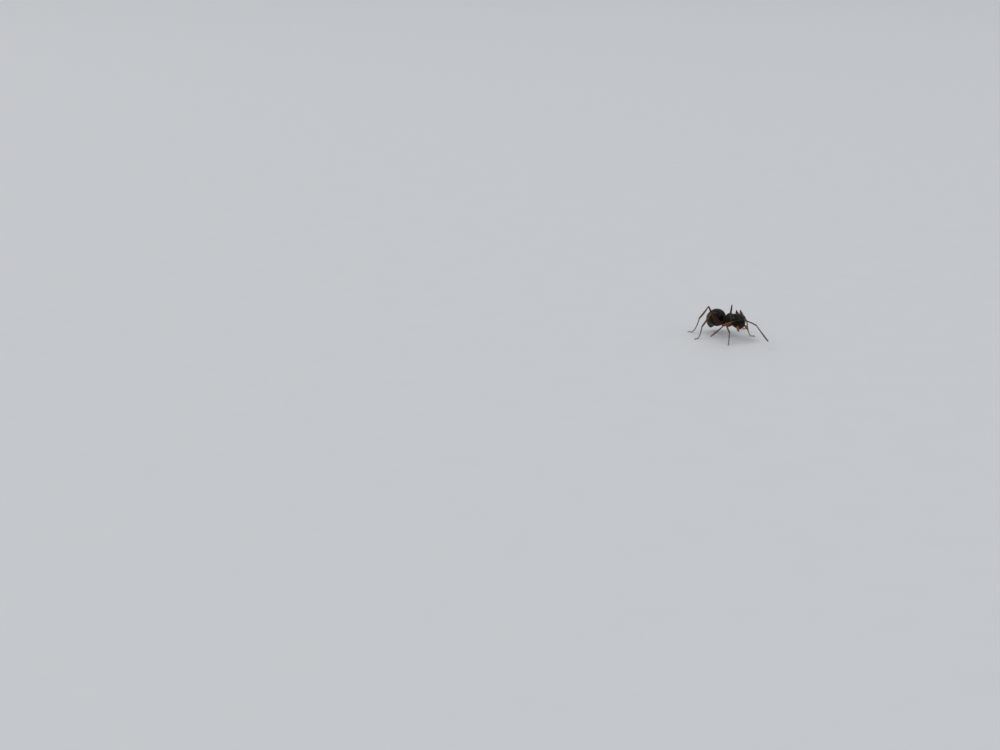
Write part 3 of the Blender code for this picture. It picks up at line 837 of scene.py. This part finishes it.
def ray_to(plate, forward, up, angle):
    """Distance along (cos a to the right, sin a upwards) to the ellipsoid's surface; the
    larger root of the quadratic that the ray makes in the plate's own axes, or 0."""
    tilt = math.radians(plate["pitch"])
    length, width, height = plate["halves"]
    ahead, rise = forward - plate["centre"][0], up - plate["centre"][1]
    p0 = (ahead * math.cos(tilt) + rise * math.sin(tilt)) / length
    h0 = (-ahead * math.sin(tilt) + rise * math.cos(tilt)) / height
    p1 = np.sin(angle) * math.sin(tilt) / length
    h1 = np.sin(angle) * math.cos(tilt) / height
    w1 = np.cos(angle) / width
    a = p1**2 + h1**2 + w1**2
    b = p0 * p1 + h0 * h1
    c = p0**2 + h0**2 - 1
    inside = b**2 - a * c
    far = (-b + np.sqrt(np.clip(inside, 0, None))) / a
    return np.where(inside > 0, np.clip(far, 0, None), 0.0)


# %% The one skin of the trunk
def trunk_skin(rows=230, columns=200):
    """Ring at each step of the middle line; radius (sum of r_i^p)^(1/p) over the plates."""
    share, angle = rows_and_columns(rows, columns)
    forward = TRUNK_FRONT[0] + (TRUNK_REAR[0] - TRUNK_FRONT[0]) * share
    up = TRUNK_FRONT[1] + (TRUNK_REAR[1] - TRUNK_FRONT[1]) * share
    reaches = [ray_to(plate, forward, up, angle) for plate in (PRONOTUM, MESOTHORAX, PROPODEUM)]
    radius = sum(reach**CREASE_POWER for reach in reaches) ** (1 / CREASE_POWER)
    radius = np.maximum(radius, 1e-4)
    return at(forward, radius * np.cos(angle), up + radius * np.sin(angle))


def ant_terms(points):
    """The reverse of at(): (forward, right, up)."""
    away = points - SPOT
    return -away[..., 1], -away[..., 0], away[..., 2]


def plane_reach(points, join):
    """Distance ahead of a plane across the body, along its own normal."""
    forward, _, up = ant_terms(points)
    place, lean = join[0], math.radians(join[1])
    return (forward - place[0]) * math.cos(lean) - (up - place[1]) * math.sin(lean)


# %% Relief of the trunk
def trunk_relief(points):
    """Joins between plates, side seams, breathing holes and the gland's bulge."""
    forward, right, up = ant_terms(points)
    side = np.abs(right)
    collar = plane_reach(points, COLLAR) + 0.05 * ramp(side, 0.1, 0.4)
    waist = plane_reach(points, WAIST)
    # The hood's raised edge and the groove behind it, then the waist's groove and the one ahead.
    height = 0.014 * stretch(collar, 0.0, 0.02, 0.05, 0.20)
    height -= 0.018 * bell(collar + 0.012, 0.014)
    height -= 0.022 * bell(waist, 0.024) * ramp(up, 0.95, 1.25)
    height -= 0.012 * bell(waist - 0.080, 0.011) * ramp(up, 1.2, 1.45)
    # A seam along the side of the middle plate, and one along the side of the hind plate.
    seam = bell(up - 1.25 - 0.25 * (forward - 1.66), 0.012) * ramp(side, 0.2, 0.3)
    height -= 0.012 * seam * ramp(waist, 0.0, 0.05) * (1 - ramp(collar, -0.04, 0.0))
    seam = bell(up - 1.15 + 0.30 * (forward - 1.3), 0.012) * ramp(side, 0.16, 0.26)
    height -= 0.011 * seam * (1 - ramp(waist, -0.05, 0.0))
    for place, size in BREATHING_HOLES:
        away = np.hypot(forward - place[0], up - place[1])
        hole = 0.012 * bell(away - size * 1.15, size * 0.35) - 0.022 * bell(away, size * 0.7)
        height += hole * ramp(side, 0.12, 0.2)
    # The gland above the hind leg, and fine wrinkles along the lower side.
    gland = bell(np.hypot((forward - 1.19) / 0.15, (up - 1.03) / 0.10), 0.8)
    height += 0.022 * gland * ramp(side, 0.08, 0.18) * (1 - ramp(up, 1.22, 1.34))
    wrinkles = np.sin(forward * 95 + 6 * np.sin(up * 9)) * bell(up - 1.10, 0.11)
    height += 0.0035 * wrinkles * ramp(side, 0.2, 0.3) * (1 - ramp(waist, -0.02, 0.25))
    return height


smooth_trunk = trunk_skin()
trunk_grid = raised(smooth_trunk, trunk_relief(smooth_trunk))
height_up = ant_terms(trunk_grid)[2]
trunk_tone = 0.55 * (1 - ramp(height_up, 0.92, 1.16))
trunk_tone += 0.10 * bell(plane_reach(trunk_grid, COLLAR), 0.03)
piece("trunk", [(trunk_grid, trunk_tone)], JET, ("pronotum", "mesothorax", "propodeum"))
print("trunk, mm:", size_mm(trunk_grid))

# %% [markdown]
# ## The waist
#
# Ants of this family have a waist of one joint, an upright scale on a short stalk. The scale is
# broad from side to side and thin from front to back, and its top edge is blunt. The stalk that
# joins it to the trunk and the gaster is hidden low down between them. Both are plain enough to
# be ovals of changing size, the scale's stacked upwards and the stalk's along a line.

# %% Petiole
SCALE_FORWARD, SCALE_FOOT, SCALE_TOP = 0.995, 0.90, 1.41
SCALE_HALF_WIDTH, SCALE_HALF_THICK = 0.25, 0.085
STALK_ENDS = at([1.20, 0.78], 0.0, [1.02, 0.97])  # inside the trunk and inside the gaster


def scale_skin(rows=90, columns=96):
    """Half width .25 (.12 + .88 sin(pi (.12 + .83 s))^.6) and half thickness
    .085 (1.25 - s) sin(pi (.1 + .82 s))^.4 at the share s from foot to top."""
    share, angle = rows_and_columns(rows, columns)
    wide = SCALE_HALF_WIDTH * (0.12 + 0.88 * np.sin(math.pi * (0.12 + 0.83 * share)) ** 0.6)
    thick = SCALE_HALF_THICK * (1.25 - share) * np.sin(math.pi * (0.1 + 0.82 * share)) ** 0.4
    ends = np.sin(math.pi * share) ** 0.12
    up = SCALE_FOOT + (SCALE_TOP - SCALE_FOOT) * share
    return at(SCALE_FORWARD + thick * ends * np.sin(angle), wide * ends * np.cos(angle), up)


def stalk_skin():
    """A short neck from inside the trunk through the scale's foot into the gaster, thinner in
    its middle by a cosine."""
    t = np.linspace(0, 1, 30)
    path = STALK_ENDS[0] + (STALK_ENDS[1] - STALK_ENDS[0]) * t[:, None]
    return tube(path, 0.115 + 0.02 * np.cos(TURN * t), UP, columns=32)


scale = scale_skin()
piece("petiole_scale", [(scale, 0.12), (stalk_skin(), 0.3)], JET, ("petiole",))
print("scale of the waist, mm:", size_mm(scale))

# %% [markdown]
# ## The gaster
#
# The gaster is a bent egg of overlapping plates. Its rings fan out round a line that runs across
# under the belly, as the ribs of a fan do. Each plate widens to its hind edge, which is thin and
# lets light through, and there the skin steps down to the next plate. Rows of the grid are laid
# close together at each step, so that the edge is crisp. The upper plates overlap the lower ones
# along the flanks in the same way. Separate plates, one inside the next, would look no different
# and would hide many of their faces.

# %% Gaster plates
BELLY_LINE = (0.542, 0.371)
GASTER_MIDDLE, GASTER_HALF_HEIGHT, GASTER_HALF_WIDTH = 0.876, 0.645, 0.662
GASTER_FRONT, GASTER_TIP = math.radians(-23.1), math.radians(97.2)
PLATE_ENDS = (0.40, 0.61, 0.78, 0.90)  # shares of the fan
LEDGE, LEDGE_LENGTH = 0.017, 0.006
PLATE_SWING = 0.012  # how much farther back a plate's edge lies on the flank


def gaster_shares():
    """Shares from front to tip, with close rows on both sides of every plate's hind edge."""
    plain = 0.5 - 0.5 * np.cos(np.linspace(0.05, math.pi - 0.02, 190))
    close = np.concatenate([end + np.linspace(-0.022, 0.014, 15) for end in PLATE_ENDS])
    return np.unique(np.concatenate([plain, close]).round(5))[:, None]


def plate_rise(share, swing):
    """A saw's edge: each plate rises to 1 at its hind edge and drops within LEDGE_LENGTH."""
    rise, start = 0.0, 0.10
    for end in PLATE_ENDS + (1.06,):
        edge = end + swing
        rise = rise + stretch(share, start, edge, edge, edge + LEDGE_LENGTH)
        start = edge
    return rise


# %% Build the gaster
def gaster_skin(columns=230):
    """Full to sin(pi s^.728)^.715 at the share s, on a fan from -23 to 97 degrees."""
    share = gaster_shares()
    angle = np.linspace(0.0, TURN, columns, endpoint=False)[None, :]
    fan = GASTER_FRONT + (GASTER_TIP - GASTER_FRONT) * share
    full = np.sin(math.pi * share**0.728) ** 0.715
    flank = np.sin(angle)
    swing = PLATE_SWING * bell(flank + 0.3, 0.5)
    lower = ramp(-flank, 0.30, 0.36)
    ledge = LEDGE * plate_rise(share, swing) * (full > 0.12) - 0.010 * lower * ramp(full, 0.2, 0.5)
    high = (GASTER_HALF_HEIGHT * full + ledge) * flank
    reach = GASTER_MIDDLE + 0.05 * share**6 + high
    right = (GASTER_HALF_WIDTH * full + ledge) * np.cos(angle)
    skin = at(BELLY_LINE[0] - reach * np.sin(fan), right, BELLY_LINE[1] + reach * np.cos(fan))
    # Paler just before each plate's hind edge, underneath, and at the tip.
    pale = sum(stretch(share - end, swing - 0.020, swing, 0.014, 0.020) for end in PLATE_ENDS)
    return skin, 0.42 * np.clip(pale, 0, 1) + 0.10 * lower + 0.5 * ramp(share, 0.965, 1.0)


gaster_grid, gaster_tone = gaster_skin()
piece("gaster_plates", [(gaster_grid, gaster_tone)], GASTER, ("gaster",))
print("gaster, mm:", size_mm(gaster_grid), "against the node's", size_mm(box_mm("gaster")))

# %% [markdown]
# ## The feelers
#
# A feeler is bent like an elbow. The long first joint, the scape, swings in a socket beside the
# face plate. The lash beyond the elbow has eleven short joints, each a little wider at its far
# end, and is stoutest near the tip. Where the feelers point is read from the CAD nodes: the
# elbow lies just outside the place where scape and lash face each other, and the far end is the
# middle of the lash's farthest corners.

# %% Scape
LASH_JOINTS = 11
# Places along each joint, from 0 at the head's side to 1, and the tone there: the feeler's
# own brown with painted light in it. The right scape's dark stretch over the head and the
# right lash's dark middle are painted shade, and the pale base of the left scape is painted
# backlight.
SCAPE_TONES_AND_PAINTED_LIGHT = {"left": ((0.10, 0.35, 0.65, 0.95), (0.50, 0.05, 0.05, 0.45)),
               "right": ((0.38, 0.58, 1.00), (0.0, 0.80, 0.65))}
LASH_TONES_AND_PAINTED_SHADE = {"left": ((0.0, 0.25, 0.40, 1.0), (0.50, 0.36, 0.36, 0.62)),
              "right": ((0.0, 0.12, 0.35, 0.70, 0.95), (0.60, 0.40, 0.12, 0.16, 0.80))}


def to_nearest(share, joints):
    """Distance from each share to the nearest joint."""
    return np.min(np.abs(share[:, None] - joints), axis=1)


def segmented(share, joints, narrow):
    """1 along a segment and less at each joint, with each segment wider at its far end."""
    which = np.searchsorted(joints, share)
    edges = np.concatenate([[0.0], joints, [1.0]])
    within = (share - edges[which]) / (edges[which + 1] - edges[which])
    return (1 - narrow * bell(to_nearest(share, joints), 0.010)) * (0.93 + 0.13 * within)


def scape_skin(side):
    """A stem that arches up by .035, with a knob and a neck at the socket; its far end runs a
    little past the elbow."""
    socket, elbow, tip = FEELER_PLACES[side]
    onward = unit(elbow - socket)
    share = crowd(120)
    arch = 0.035 * np.sin(math.pi * share)
    out = 0.025 * bell(share - 0.07, 0.05) - 0.035 * bell(share, 0.035)
    stem = socket + (elbow - socket) * share[:, None] + arch[:, None] * UP + out[:, None] * HEAD_OUT
    neck = 1 - 0.45 * bell(share - 0.062, 0.020)
    radius = (0.034 + 0.013 * ramp(share, 0.1, 0.9) + 0.010 * bell(share - 0.01, 0.03)) * neck
    stem = np.concatenate([stem, elbow[None] + 0.03 * onward])
    radius, share = np.append(radius, radius[-1]), np.append(share, 1.0)
    skin = tube(stem, radius, np.cross(onward, unit(tip - elbow)), columns=28)
    # Tone from the table: the scape's own brown, with painted shade and painted backlight.
    return skin, np.interp(share, *SCAPE_TONES_AND_PAINTED_LIGHT[side])


# %% Lash, and both feelers
def lash_skin(side):
    """Eleven joints, stouter towards the last, that sag by .02 between elbow and tip."""
    socket, elbow, tip = FEELER_PLACES[side]
    onward = unit(tip - elbow)
    share = np.linspace(0.0, 1.0, 330)
    start = elbow - 0.02 * onward
    line = start + (tip - start) * share[:, None] - 0.02 * np.sin(math.pi * share)[:, None] * UP
    lengths = np.array([1.7] + [1.0] * (LASH_JOINTS - 2) + [1.9])
    joints = np.cumsum(lengths)[:-1] / lengths.sum()
    radius = (0.036 + 0.016 * ramp(share, 0.0, 0.75)) * segmented(share, joints, 0.18)
    radius = radius * (1 - 0.45 * ramp(share, 0.93, 1.0))
    skin = tube(line, radius, np.cross(unit(elbow - socket), onward), columns=26)
    # Tone from the table, painted shade included, plus paler joints.
    return skin, np.interp(share, *LASH_TONES_AND_PAINTED_SHADE[side]) + 0.2 * bell(to_nearest(share, joints), 0.006)


FEELERS = {side: (scape_skin(side), lash_skin(side)) for side in SIDES}
for side, (scape, lash) in FEELERS.items():
    solid = f"antenna_{side}_"
    piece(f"feeler_{side}_scape", [scape], FEELER, (solid + "scape",))
    piece(f"feeler_{side}_lash", [lash], FEELER, (solid + "flagellum",))
    print(side, "lash, mm:", size_mm(lash[0]))

# %% [markdown]
# ## The legs
#
# Each leg is a coxa, a small ring, a femur, a tibia with a spur at its end, and a foot of
# five short joints with two claws. The CAD legs are about half a millimetre thick so that they can
# be cast, which is two to four times as thick as life. The pieces here run down the middle of
# those solids at the ant's own thickness. Hips, knees and ankles lie where two CAD nodes face
# each other, but a cast knee is drawn in so that it reaches no farther out than a living one, and
# all knees but one are moved back out here.

# %% Joints of the legs
LEG_NAMES = [f"{row}_{side}" for row in ("front", "middle", "hind") for side in SIDES]
FLAT_KNEE = "front_right"  # the one knee that lies in the middle of the cast one
DROPS = dict(zip(LEG_NAMES, (4.0, 2.4, 2.4, 3.4, 2.4, 2.8)))  # how steeply each foot falls
HIND_ROOT = (1.24, 0.15, 1.07)  # where a hind coxa hangs inside the trunk
ROOT_BEYOND = 2.1  # the other roots lie so many times as far from the hip as the coxa's middle
# How ruddy the coxa is, its radius at the root, how far it reaches into the trunk, by how much
# the femur swells, and the least tone that the femur has.
LEG_ROWS = {"front": (0.72, 0.165, 0.12, 0.064, 0.62),
            "middle": (0.60, 0.150, 0.12, 0.044, 0.0),
            "hind": (0.06, 0.150, 0.02, 0.044, 0.0)}


class Leg:
    """One leg: root, hip, knee, ankle and toe, read from its nodes, and the looks of its row."""

    def __init__(self, name):
        row, side = name.split("_")
        self.node, self.drop = f"leg_{name}_", DROPS[name]
        self.ruddy, self.girth, self.inside, self.swelling, self.least = LEG_ROWS[row]
        coxa, femur, tibia, tarsus = (
            self.node + joint for joint in ("coxa", "femur", "tibia", "tarsus"))
        self.hip, self.ankle = meeting(coxa, femur), meeting(tibia, tarsus)
        self.knee = meeting(femur, tibia)
        if name != FLAT_KNEE:
            self.knee = living_joint(self.hip, self.knee, self.ankle)
        self.root = self.hip + ROOT_BEYOND * (node_points(coxa).mean(0) - self.hip)
        if row == "hind":
            self.root = at(HIND_ROOT[0], SIDES[side] * HIND_ROOT[1], HIND_ROOT[2])
        self.toe = far_end(node_points(tarsus) * LEVEL, self.ankle * LEVEL, 0.03)
        self.plane = unit(np.cross(self.knee - self.hip, self.ankle - self.knee))


LEGS = [Leg(name) for name in LEG_NAMES]
for leg in LEGS:
    print(leg.node, "knee up", leg.knee[2].round(2), "ankle up", leg.ankle[2].round(2))


# %% Upper leg
LAP = 0.03  # how far a joint's shell reaches past both of its ends


def straight(start, end, count, arch=0.0, towards=UP):
    """Places from start to end and past both by LAP, bowed sideways by arch in the middle."""
    share = crowd(count)
    onward = unit(end - start)
    start, end = start - LAP * onward, end + LAP * onward
    line = start + (end - start) * share[:, None]
    return share, line + arch * np.sin(math.pi * share)[:, None] * towards


def coxa_shell(leg):
    """A cone from inside the trunk that halves in width on its way to the hip."""
    share, path = straight(leg.root + leg.inside * unit(leg.root - leg.hip), leg.hip, 70)
    radius = leg.girth * (1 - 0.50 * ramp(share, 0.15, 1.0))
    return tube(path, radius, leg.plane, 0.92, 36), leg.ruddy + 0.15 * ramp(share, 0.80, 1.0)


def femur_shell(leg):
    """A flat spindle that swells as sin(pi (1.05 s)^.8) at the share s from the hip; a notch
    near the hip sets off the small ring."""
    outwards = unit(np.cross(leg.plane, leg.knee - leg.hip)) * 0.6
    share, path = straight(leg.hip, leg.knee, 120, 0.03, outwards)
    run = share * np.linalg.norm(leg.knee - leg.hip)
    swell = np.sin(math.pi * np.clip(share * 1.05, 0, 1) ** 0.8)
    radius = (0.058 + leg.swelling * swell - 0.010 * share) * (1 - 0.34 * bell(run - 0.145, 0.022))
    tone = 0.03 + leg.ruddy * (1 - ramp(share, 0.05, 0.22)) + 0.10 * ramp(share, 0.85, 1.0)
    return tube(path, radius, leg.plane, 0.80, 32), np.maximum(tone, leg.least)


# %% Lower leg and spur
HOOK_RADIUS = 0.0125  # of a spur or a claw at its root


def tibia_shells(leg):
    """A rod pinched below the knee that widens down to its middle, then the spur near its end."""
    outwards = unit(np.cross(leg.plane, leg.ankle - leg.knee))
    share, path = straight(leg.knee, leg.ankle, 120, 0.018, outwards)
    radius = 0.045 + 0.021 * ramp(share, 0.05, 0.55) - 0.006 * ramp(share, 0.8, 1.0)
    radius = radius * (1 - 0.2 * bell(share - 0.06, 0.03))
    tone = 0.45 + 0.30 * bell(share - 0.02, 0.1) + 0.2 * ramp(share, 0.85, 1.0)
    spur_root = path[-9]  # a little above the ankle
    t = np.linspace(0, 1, 16)
    spur = (spur_root + (unit(leg.ankle - leg.knee) * 0.17 - UP * 0.02) * t[:, None]
            - outwards * (0.045 + 0.03 * t)[:, None])
    return [(tube(path, radius, leg.plane, 0.86, 28), tone),
            (tube(spur, HOOK_RADIUS * (1 - 0.8 * t), leg.plane, columns=10), 0.8)]


# %% Foot and claws
FOOT_RADIUS, CLAW_REACH = 0.034, 0.07
EASE = 0.02  # how softly the foot comes to rest, mm
FOOT_JOINTS = np.array([0.46, 0.64, 0.76, 0.85])  # shares of its length from the ankle


def foot_path(leg, count=210):
    """From ankle to toe at the height ankle (1 - u)^drop, in even steps; its sole rests on the
    floor. The path eases down to its rest as sqrt(h^2 + EASE^2) - EASE does to 0."""
    toe = leg.toe - CLAW_REACH * unit((leg.toe - leg.ankle) * LEVEL)
    u = np.linspace(0, 1, count)
    path = leg.ankle + (toe - leg.ankle) * u[:, None]
    rest = FOOT_RADIUS * 0.92
    over = np.clip(leg.ankle[2] * (1 - u) ** leg.drop - rest, 0, None)
    path[:, 2] = rest + np.hypot(over, EASE) - EASE
    path[0] = leg.ankle + 0.05 * unit(leg.knee - leg.ankle)
    run = run_along(path)
    return places_at(np.linspace(0, run[-1], count), run, path)


def claw(base, ahead, aside, sign):
    """A hook: forwards as sin(1.35 t) and down as 1 - cos(1.9 t), thinning to a point."""
    t = np.linspace(0.0, 1.0, 18)[:, None]
    fall = 0.028 * (1 - np.cos(t * 1.9)) - 0.012
    path = (base + ahead * 0.085 * np.sin(t * 1.35) + aside * sign * (0.018 + 0.040 * t**0.8)
            - UP * fall)
    return tube(path, HOOK_RADIUS * (1 - 0.88 * t[:, 0]), aside + 0.3 * UP, columns=10)


def foot_shells(leg):
    """Five short joints, each wider at its far end, then a pad between two claws."""
    path = foot_path(leg)
    share = np.linspace(0.0, 1.0, len(path))
    radius = (0.038 - 0.010 * share) * segmented(share, FOOT_JOINTS, 0.34)
    skin = tube(path, radius, unit(np.cross(leg.toe - leg.ankle, UP)))
    tone = 0.42 + 0.25 * share + 0.25 * bell(to_nearest(share, FOOT_JOINTS), 0.008)
    base, ahead = path[-4], unit((path[-1] - path[-12]) * LEVEL)
    aside = np.cross(ahead, UP)
    pad_path = base + ahead * np.linspace(0, 0.06, 14)[:, None] - UP * 0.004
    pad = tube(pad_path, np.full(14, 0.016), aside, flat=1.5, columns=12)
    return [(skin, tone), (pad, 1.0), *((claw(base, ahead, aside, sign), 0.15) for sign in (-1, 1))]


# %% Build the legs
def build_leg(leg):
    """The pieces of one leg; returns the skins on which hair grows."""
    shells = (("hip_joint", "coxa", "leg_upper", COXA, [coxa_shell(leg)]),
              ("femur_shell", "femur", "leg_upper", COXA, [femur_shell(leg)]),
              ("tibia_shell", "tibia", "leg_lower", LEG, tibia_shells(leg)),
              ("foot", "tarsus", "tarsus", FOOT, foot_shells(leg)))
    for name, solid, slot, finish, skins in shells:
        piece(leg.node + name, skins, finish, (leg.node + solid,))
    return [skins[0][0] for *_, skins in shells]


LEG_SKINS = [build_leg(leg) for leg in LEGS]
print("legs:", len(LEG_SKINS))

# %% [markdown]
# ## Hair
#
# A polished ant still has a coat: very short hairs that lie back along the shell, and a few
# longer ones that stand up. Each hair is a real mesh, a three-sided cone that curves as it
# thins, because Blender's own hair curves would be lost when the model is exported. The roots
# are strewn over a skin's grid by area, with a seeded generator, so that the script gives the
# same coat each time. Each hair also gets a tiny patch of its own in a UV map, at its root's
# place on the unrolled skin, so that its colour can be baked.

# %% Where hairs grow
HAIR_SIDES = 3
HAIR_LEVELS = np.array([0.0, 0.40, 0.75])  # where along a hair its rings lie; its tip is at 1
HAIR_GIRTHS = np.array([1.0, 0.78, 0.48])  # how thick it is there
SUNK, CURL = 0.02, 0.30  # shares of its length: below the shell, and bent over at the tip
STRAY, LEAN_SPREAD = 0.16, 7  # how far it swings its own way, and how its lean varies, degrees
PATCH = 0.003  # side of a hair's own patch in the UV map
rng = np.random.default_rng(7)  # every coat draws from it in turn


def strewn_roots(skin, count, keep=None):
    """Roots, normals, backward directions and unrolled places, spread evenly by area."""
    following = np.roll(skin, -1, axis=1)
    a, b, c, d = skin[:-1], following[:-1], following[1:], skin[1:]
    area = np.linalg.norm(np.cross(c - a, d - b), axis=-1) / 2
    if keep is not None:
        area = area * keep(skin[:-1])
    cell = rng.choice(area.size, count, p=(area / area.sum()).ravel())
    row, column = np.unravel_index(cell, area.shape)
    s, t = rng.random((2, count, 1))
    a, b, c, d = (corner[row, column] for corner in (a, b, c, d))
    root = a * (1 - s) * (1 - t) + d * s * (1 - t) + b * (1 - s) * t + c * s * t
    unrolled = np.concatenate([(row[:, None] + s) / (skin.shape[0] - 1),
                               (column[:, None] + t) / skin.shape[1]], axis=-1)
    return root, normals_of(skin)[row, column], unit(d - a), unrolled


# %% The shape of a hair
def hair_cones(root, normal, lay, length, thick, lean):
    """Centre line root + l (t u + CURL t^2 lay): u leans from the normal towards the lay, and
    each hair swings a little its own way."""
    count = len(root)
    length = length[:, None, None]
    swing = unit(rng.normal(size=(count, 3)))
    u = unit(np.cos(lean)[:, None] * normal + np.sin(lean)[:, None] * lay + STRAY * swing)
    across = unit(np.cross(u, swing + 0.01))[:, None]
    root, lay, u = root[:, None], lay[:, None], u[:, None]
    square = np.cross(across, u)
    t = HAIR_LEVELS[:, None]
    spine = root - SUNK * length * u + length * (t * u + CURL * t**2 * lay)
    radius = thick * HAIR_GIRTHS[:, None, None]
    angle = np.arange(HAIR_SIDES)[:, None] * TURN / HAIR_SIDES
    rings = (spine[:, :, None] + radius * np.cos(angle) * across[:, None]
             + radius * np.sin(angle) * square[:, None])
    tip = root + length * ((1 - SUNK) * u + CURL * lay)
    return np.concatenate([rings.reshape(count, -1, 3), tip], axis=1)


def hair_faces(count):
    """Six quads round each hair, three triangles to its tip and one across its foot."""
    ring = np.arange(HAIR_SIDES)
    turned = (ring + 1) % HAIR_SIDES
    band = np.stack([ring, turned, HAIR_SIDES + turned, HAIR_SIDES + ring], -1)
    quads = np.concatenate([band, band + HAIR_SIDES])
    tip = HAIR_SIDES * len(HAIR_LEVELS)
    last = tip - HAIR_SIDES
    top = np.stack([last + ring, last + turned, np.full(HAIR_SIDES, tip)], -1)
    triangles = np.concatenate([top, ring[None, ::-1]])
    start = (np.arange(count) * (tip + 1))[:, None, None]
    return (quads[None] + start).reshape(-1, 4), (triangles[None] + start).reshape(-1, 3)


# %% A coat
def coat(name, lots, finish=HAIR):
    """One piece of hair from several lots of cones; each lot is (cones, unrolled places)."""
    cones, unrolled = (np.concatenate(column) for column in zip(*lots))
    count = len(cones)
    quads, triangles = hair_faces(count)
    points = cones.reshape(-1, 3)
    if volume_of(points, quads) + volume_of(points, triangles) < 0:
        quads, triangles = quads[:, ::-1], triangles[:, ::-1]
    level = np.tile(np.append(np.repeat(HAIR_LEVELS, HAIR_SIDES), 1.0), count)
    sides = np.linspace(0, 1, HAIR_SIDES)
    around = np.tile(np.append(np.tile(sides, len(HAIR_LEVELS)), 0.5), count)
    made = riding(name, mesh_from(name, points, quads, triangles, level), finish)
    flat = np.repeat(unrolled * (1 - PATCH), cones.shape[1], axis=0)
    flat = flat + PATCH * np.stack([level, around], axis=-1)
    loops = np.empty(len(made.data.loops), np.int32)
    made.data.loops.foreach_get("vertex_index", loops)
    uv_map = made.data.uv_layers.new(name="OFBake")
    uv_map.data.foreach_set("uv", flat[loops].astype(np.float32).ravel())
    print(name, count, "hairs")


def grown(skin, count, length, thick, lean, keep=None, tile=(0.0, 0.0, 1.0)):
    """A lot of hairs: the range of their length, their radius, and how they lean in degrees.
    The tile is the corner and the side of the square of the UV map that the lot fills."""
    root, normal, lay, unrolled = strewn_roots(skin, count, keep)
    lengths = rng.uniform(*length, count)
    leans = np.radians(rng.normal(lean, LEAN_SPREAD, count))
    cones = hair_cones(root, normal, lay, lengths, thick, leans)
    return cones, unrolled * tile[2] + np.array(tile[:2])


# %% Coats of head, trunk and gaster
def clear_of_eyes(points):
    """0 on the eyes and their rims, 1 elsewhere."""
    along, right, out = head_terms(points)
    return np.where((eye_distance(along, out) < 1.25) & (np.abs(right) > 0.35), 0.0, 1.0)


def on_the_back(points):
    """1 on top of the trunk, fading to 0 down its sides."""
    return ramp(points[..., 2], 1.4, 1.6)


coat("coat_head", [
    grown(head_grid, 2600, (0.018, 0.036), 0.0016, 70, clear_of_eyes),
    grown(head_grid, 90, (0.06, 0.11), 0.0024, 28, clear_of_eyes)])
coat("coat_trunk", [
    grown(trunk_grid, 2300, (0.024, 0.045), 0.0017, 72),
    grown(trunk_grid, 70, (0.06, 0.11), 0.0024, 30, on_the_back),
    grown(scale, 160, (0.02, 0.045), 0.0018, 50)])
coat("coat_gaster", [
    grown(gaster_grid, 5200, (0.030, 0.055), 0.0017, 74),
    grown(gaster_grid, 190, (0.07, 0.12), 0.0024, 42)])


# %% Coats of legs and feelers
def off_the_floor(points):
    """No hair grows from the soles."""
    return ramp(points[..., 2], 0.050, 0.062)


LEG_HAIRS, FEELER_HAIRS = (150, 330, 420, 420), (420, 1100)  # on each joint of a limb
coat("coat_legs", [
    grown(skin, count, (0.022, 0.045), 0.0017, 55, off_the_floor, (0.16 * limb, 0.25 * part, 0.15))
    for limb, skins in enumerate(LEG_SKINS)
    for part, (skin, count) in enumerate(zip(skins, LEG_HAIRS))], LIMB_HAIR)
coat("coat_feelers", [
    grown(skin, count, (0.016, 0.032), 0.0015, 55, None, (0.5 * limb, 0.5 * part, 0.45))
    for limb, joints in enumerate(FEELERS.values())
    for part, ((skin, _), count) in enumerate(zip(joints, FEELER_HAIRS))], LIMB_HAIR)

# %% [markdown]
# ## Floor and light
#
# The ant stands on a plain pale floor. Light comes from a wide soft panel high up on the ant's
# right and a little behind it, which leaves a sheen along its back, from a cooler, weaker one on
# its left, and from a pale surround that fills the shadows.

# %% Floor, light and surround
HALF_FLOOR = 1.5  # metres
LIGHT_DISTANCE = 1600  # from the ant, mm

square = [(x * HALF_FLOOR, y * HALF_FLOOR, 0.0) for x, y in ((-1, -1), (1, -1), (1, 1), (-1, 1))]
floor = placed("floor", bpy.data.meshes.new("floor"))
floor.data.from_pydata(square, [], [(0, 1, 2, 3)])
paint = Finish("floor_paint", Specular_IOR_Level=0.3)
speckle = paint.noise(paint.places(), 0.35, 4.0)
floor.data.materials.append(paint.finished(
    Base_Color=paint.blend(speckle, (0.66, 0.67, 0.685), (0.70, 0.705, 0.715)),
    Roughness=0.62 + speckle * 0.1))


def panel(name, azimuth, elevation, width, power, colour):
    """A square soft light aimed at the ant; angles as a compass bearing and a height."""
    light = bpy.data.lights.new(name, "AREA")
    light.shape, light.size = "SQUARE", width * MM
    light.energy, light.color = power, colour
    a, e = math.radians(azimuth), math.radians(elevation)
    away = Vector((math.sin(a) * math.cos(e), -math.cos(a) * math.cos(e), math.sin(e)))
    target = Vector(at(1.3, 0.0, 1.0) * MM)
    placed(name, light).matrix_world = (Matrix.Translation(target + away * LIGHT_DISTANCE * MM)
                                        @ away.to_track_quat("Z", "Y").to_matrix().to_4x4())


panel("key_panel", -122, 56, 800, 6.8, (1.0, 0.985, 0.96))
panel("side_panel", 60, 62, 1100, 3.2, (0.92, 0.96, 1.0))
world = bpy.data.worlds.new("surround")
world.use_nodes = True
glow = world.node_tree.nodes["Background"].inputs
glow["Color"].default_value = (0.90, 0.93, 0.97, 1.0)
glow["Strength"].default_value = 0.57
bpy.context.scene.world = world
bpy.context.scene.view_settings.view_transform = "Standard"
print("lights:", len(bpy.data.lights))

# %% Sizes, and finish
def corners(box):
    """Both corners of a box in metres, rounded to be written down."""
    return [[round(float(x), 7) for x in corner] for corner in box]
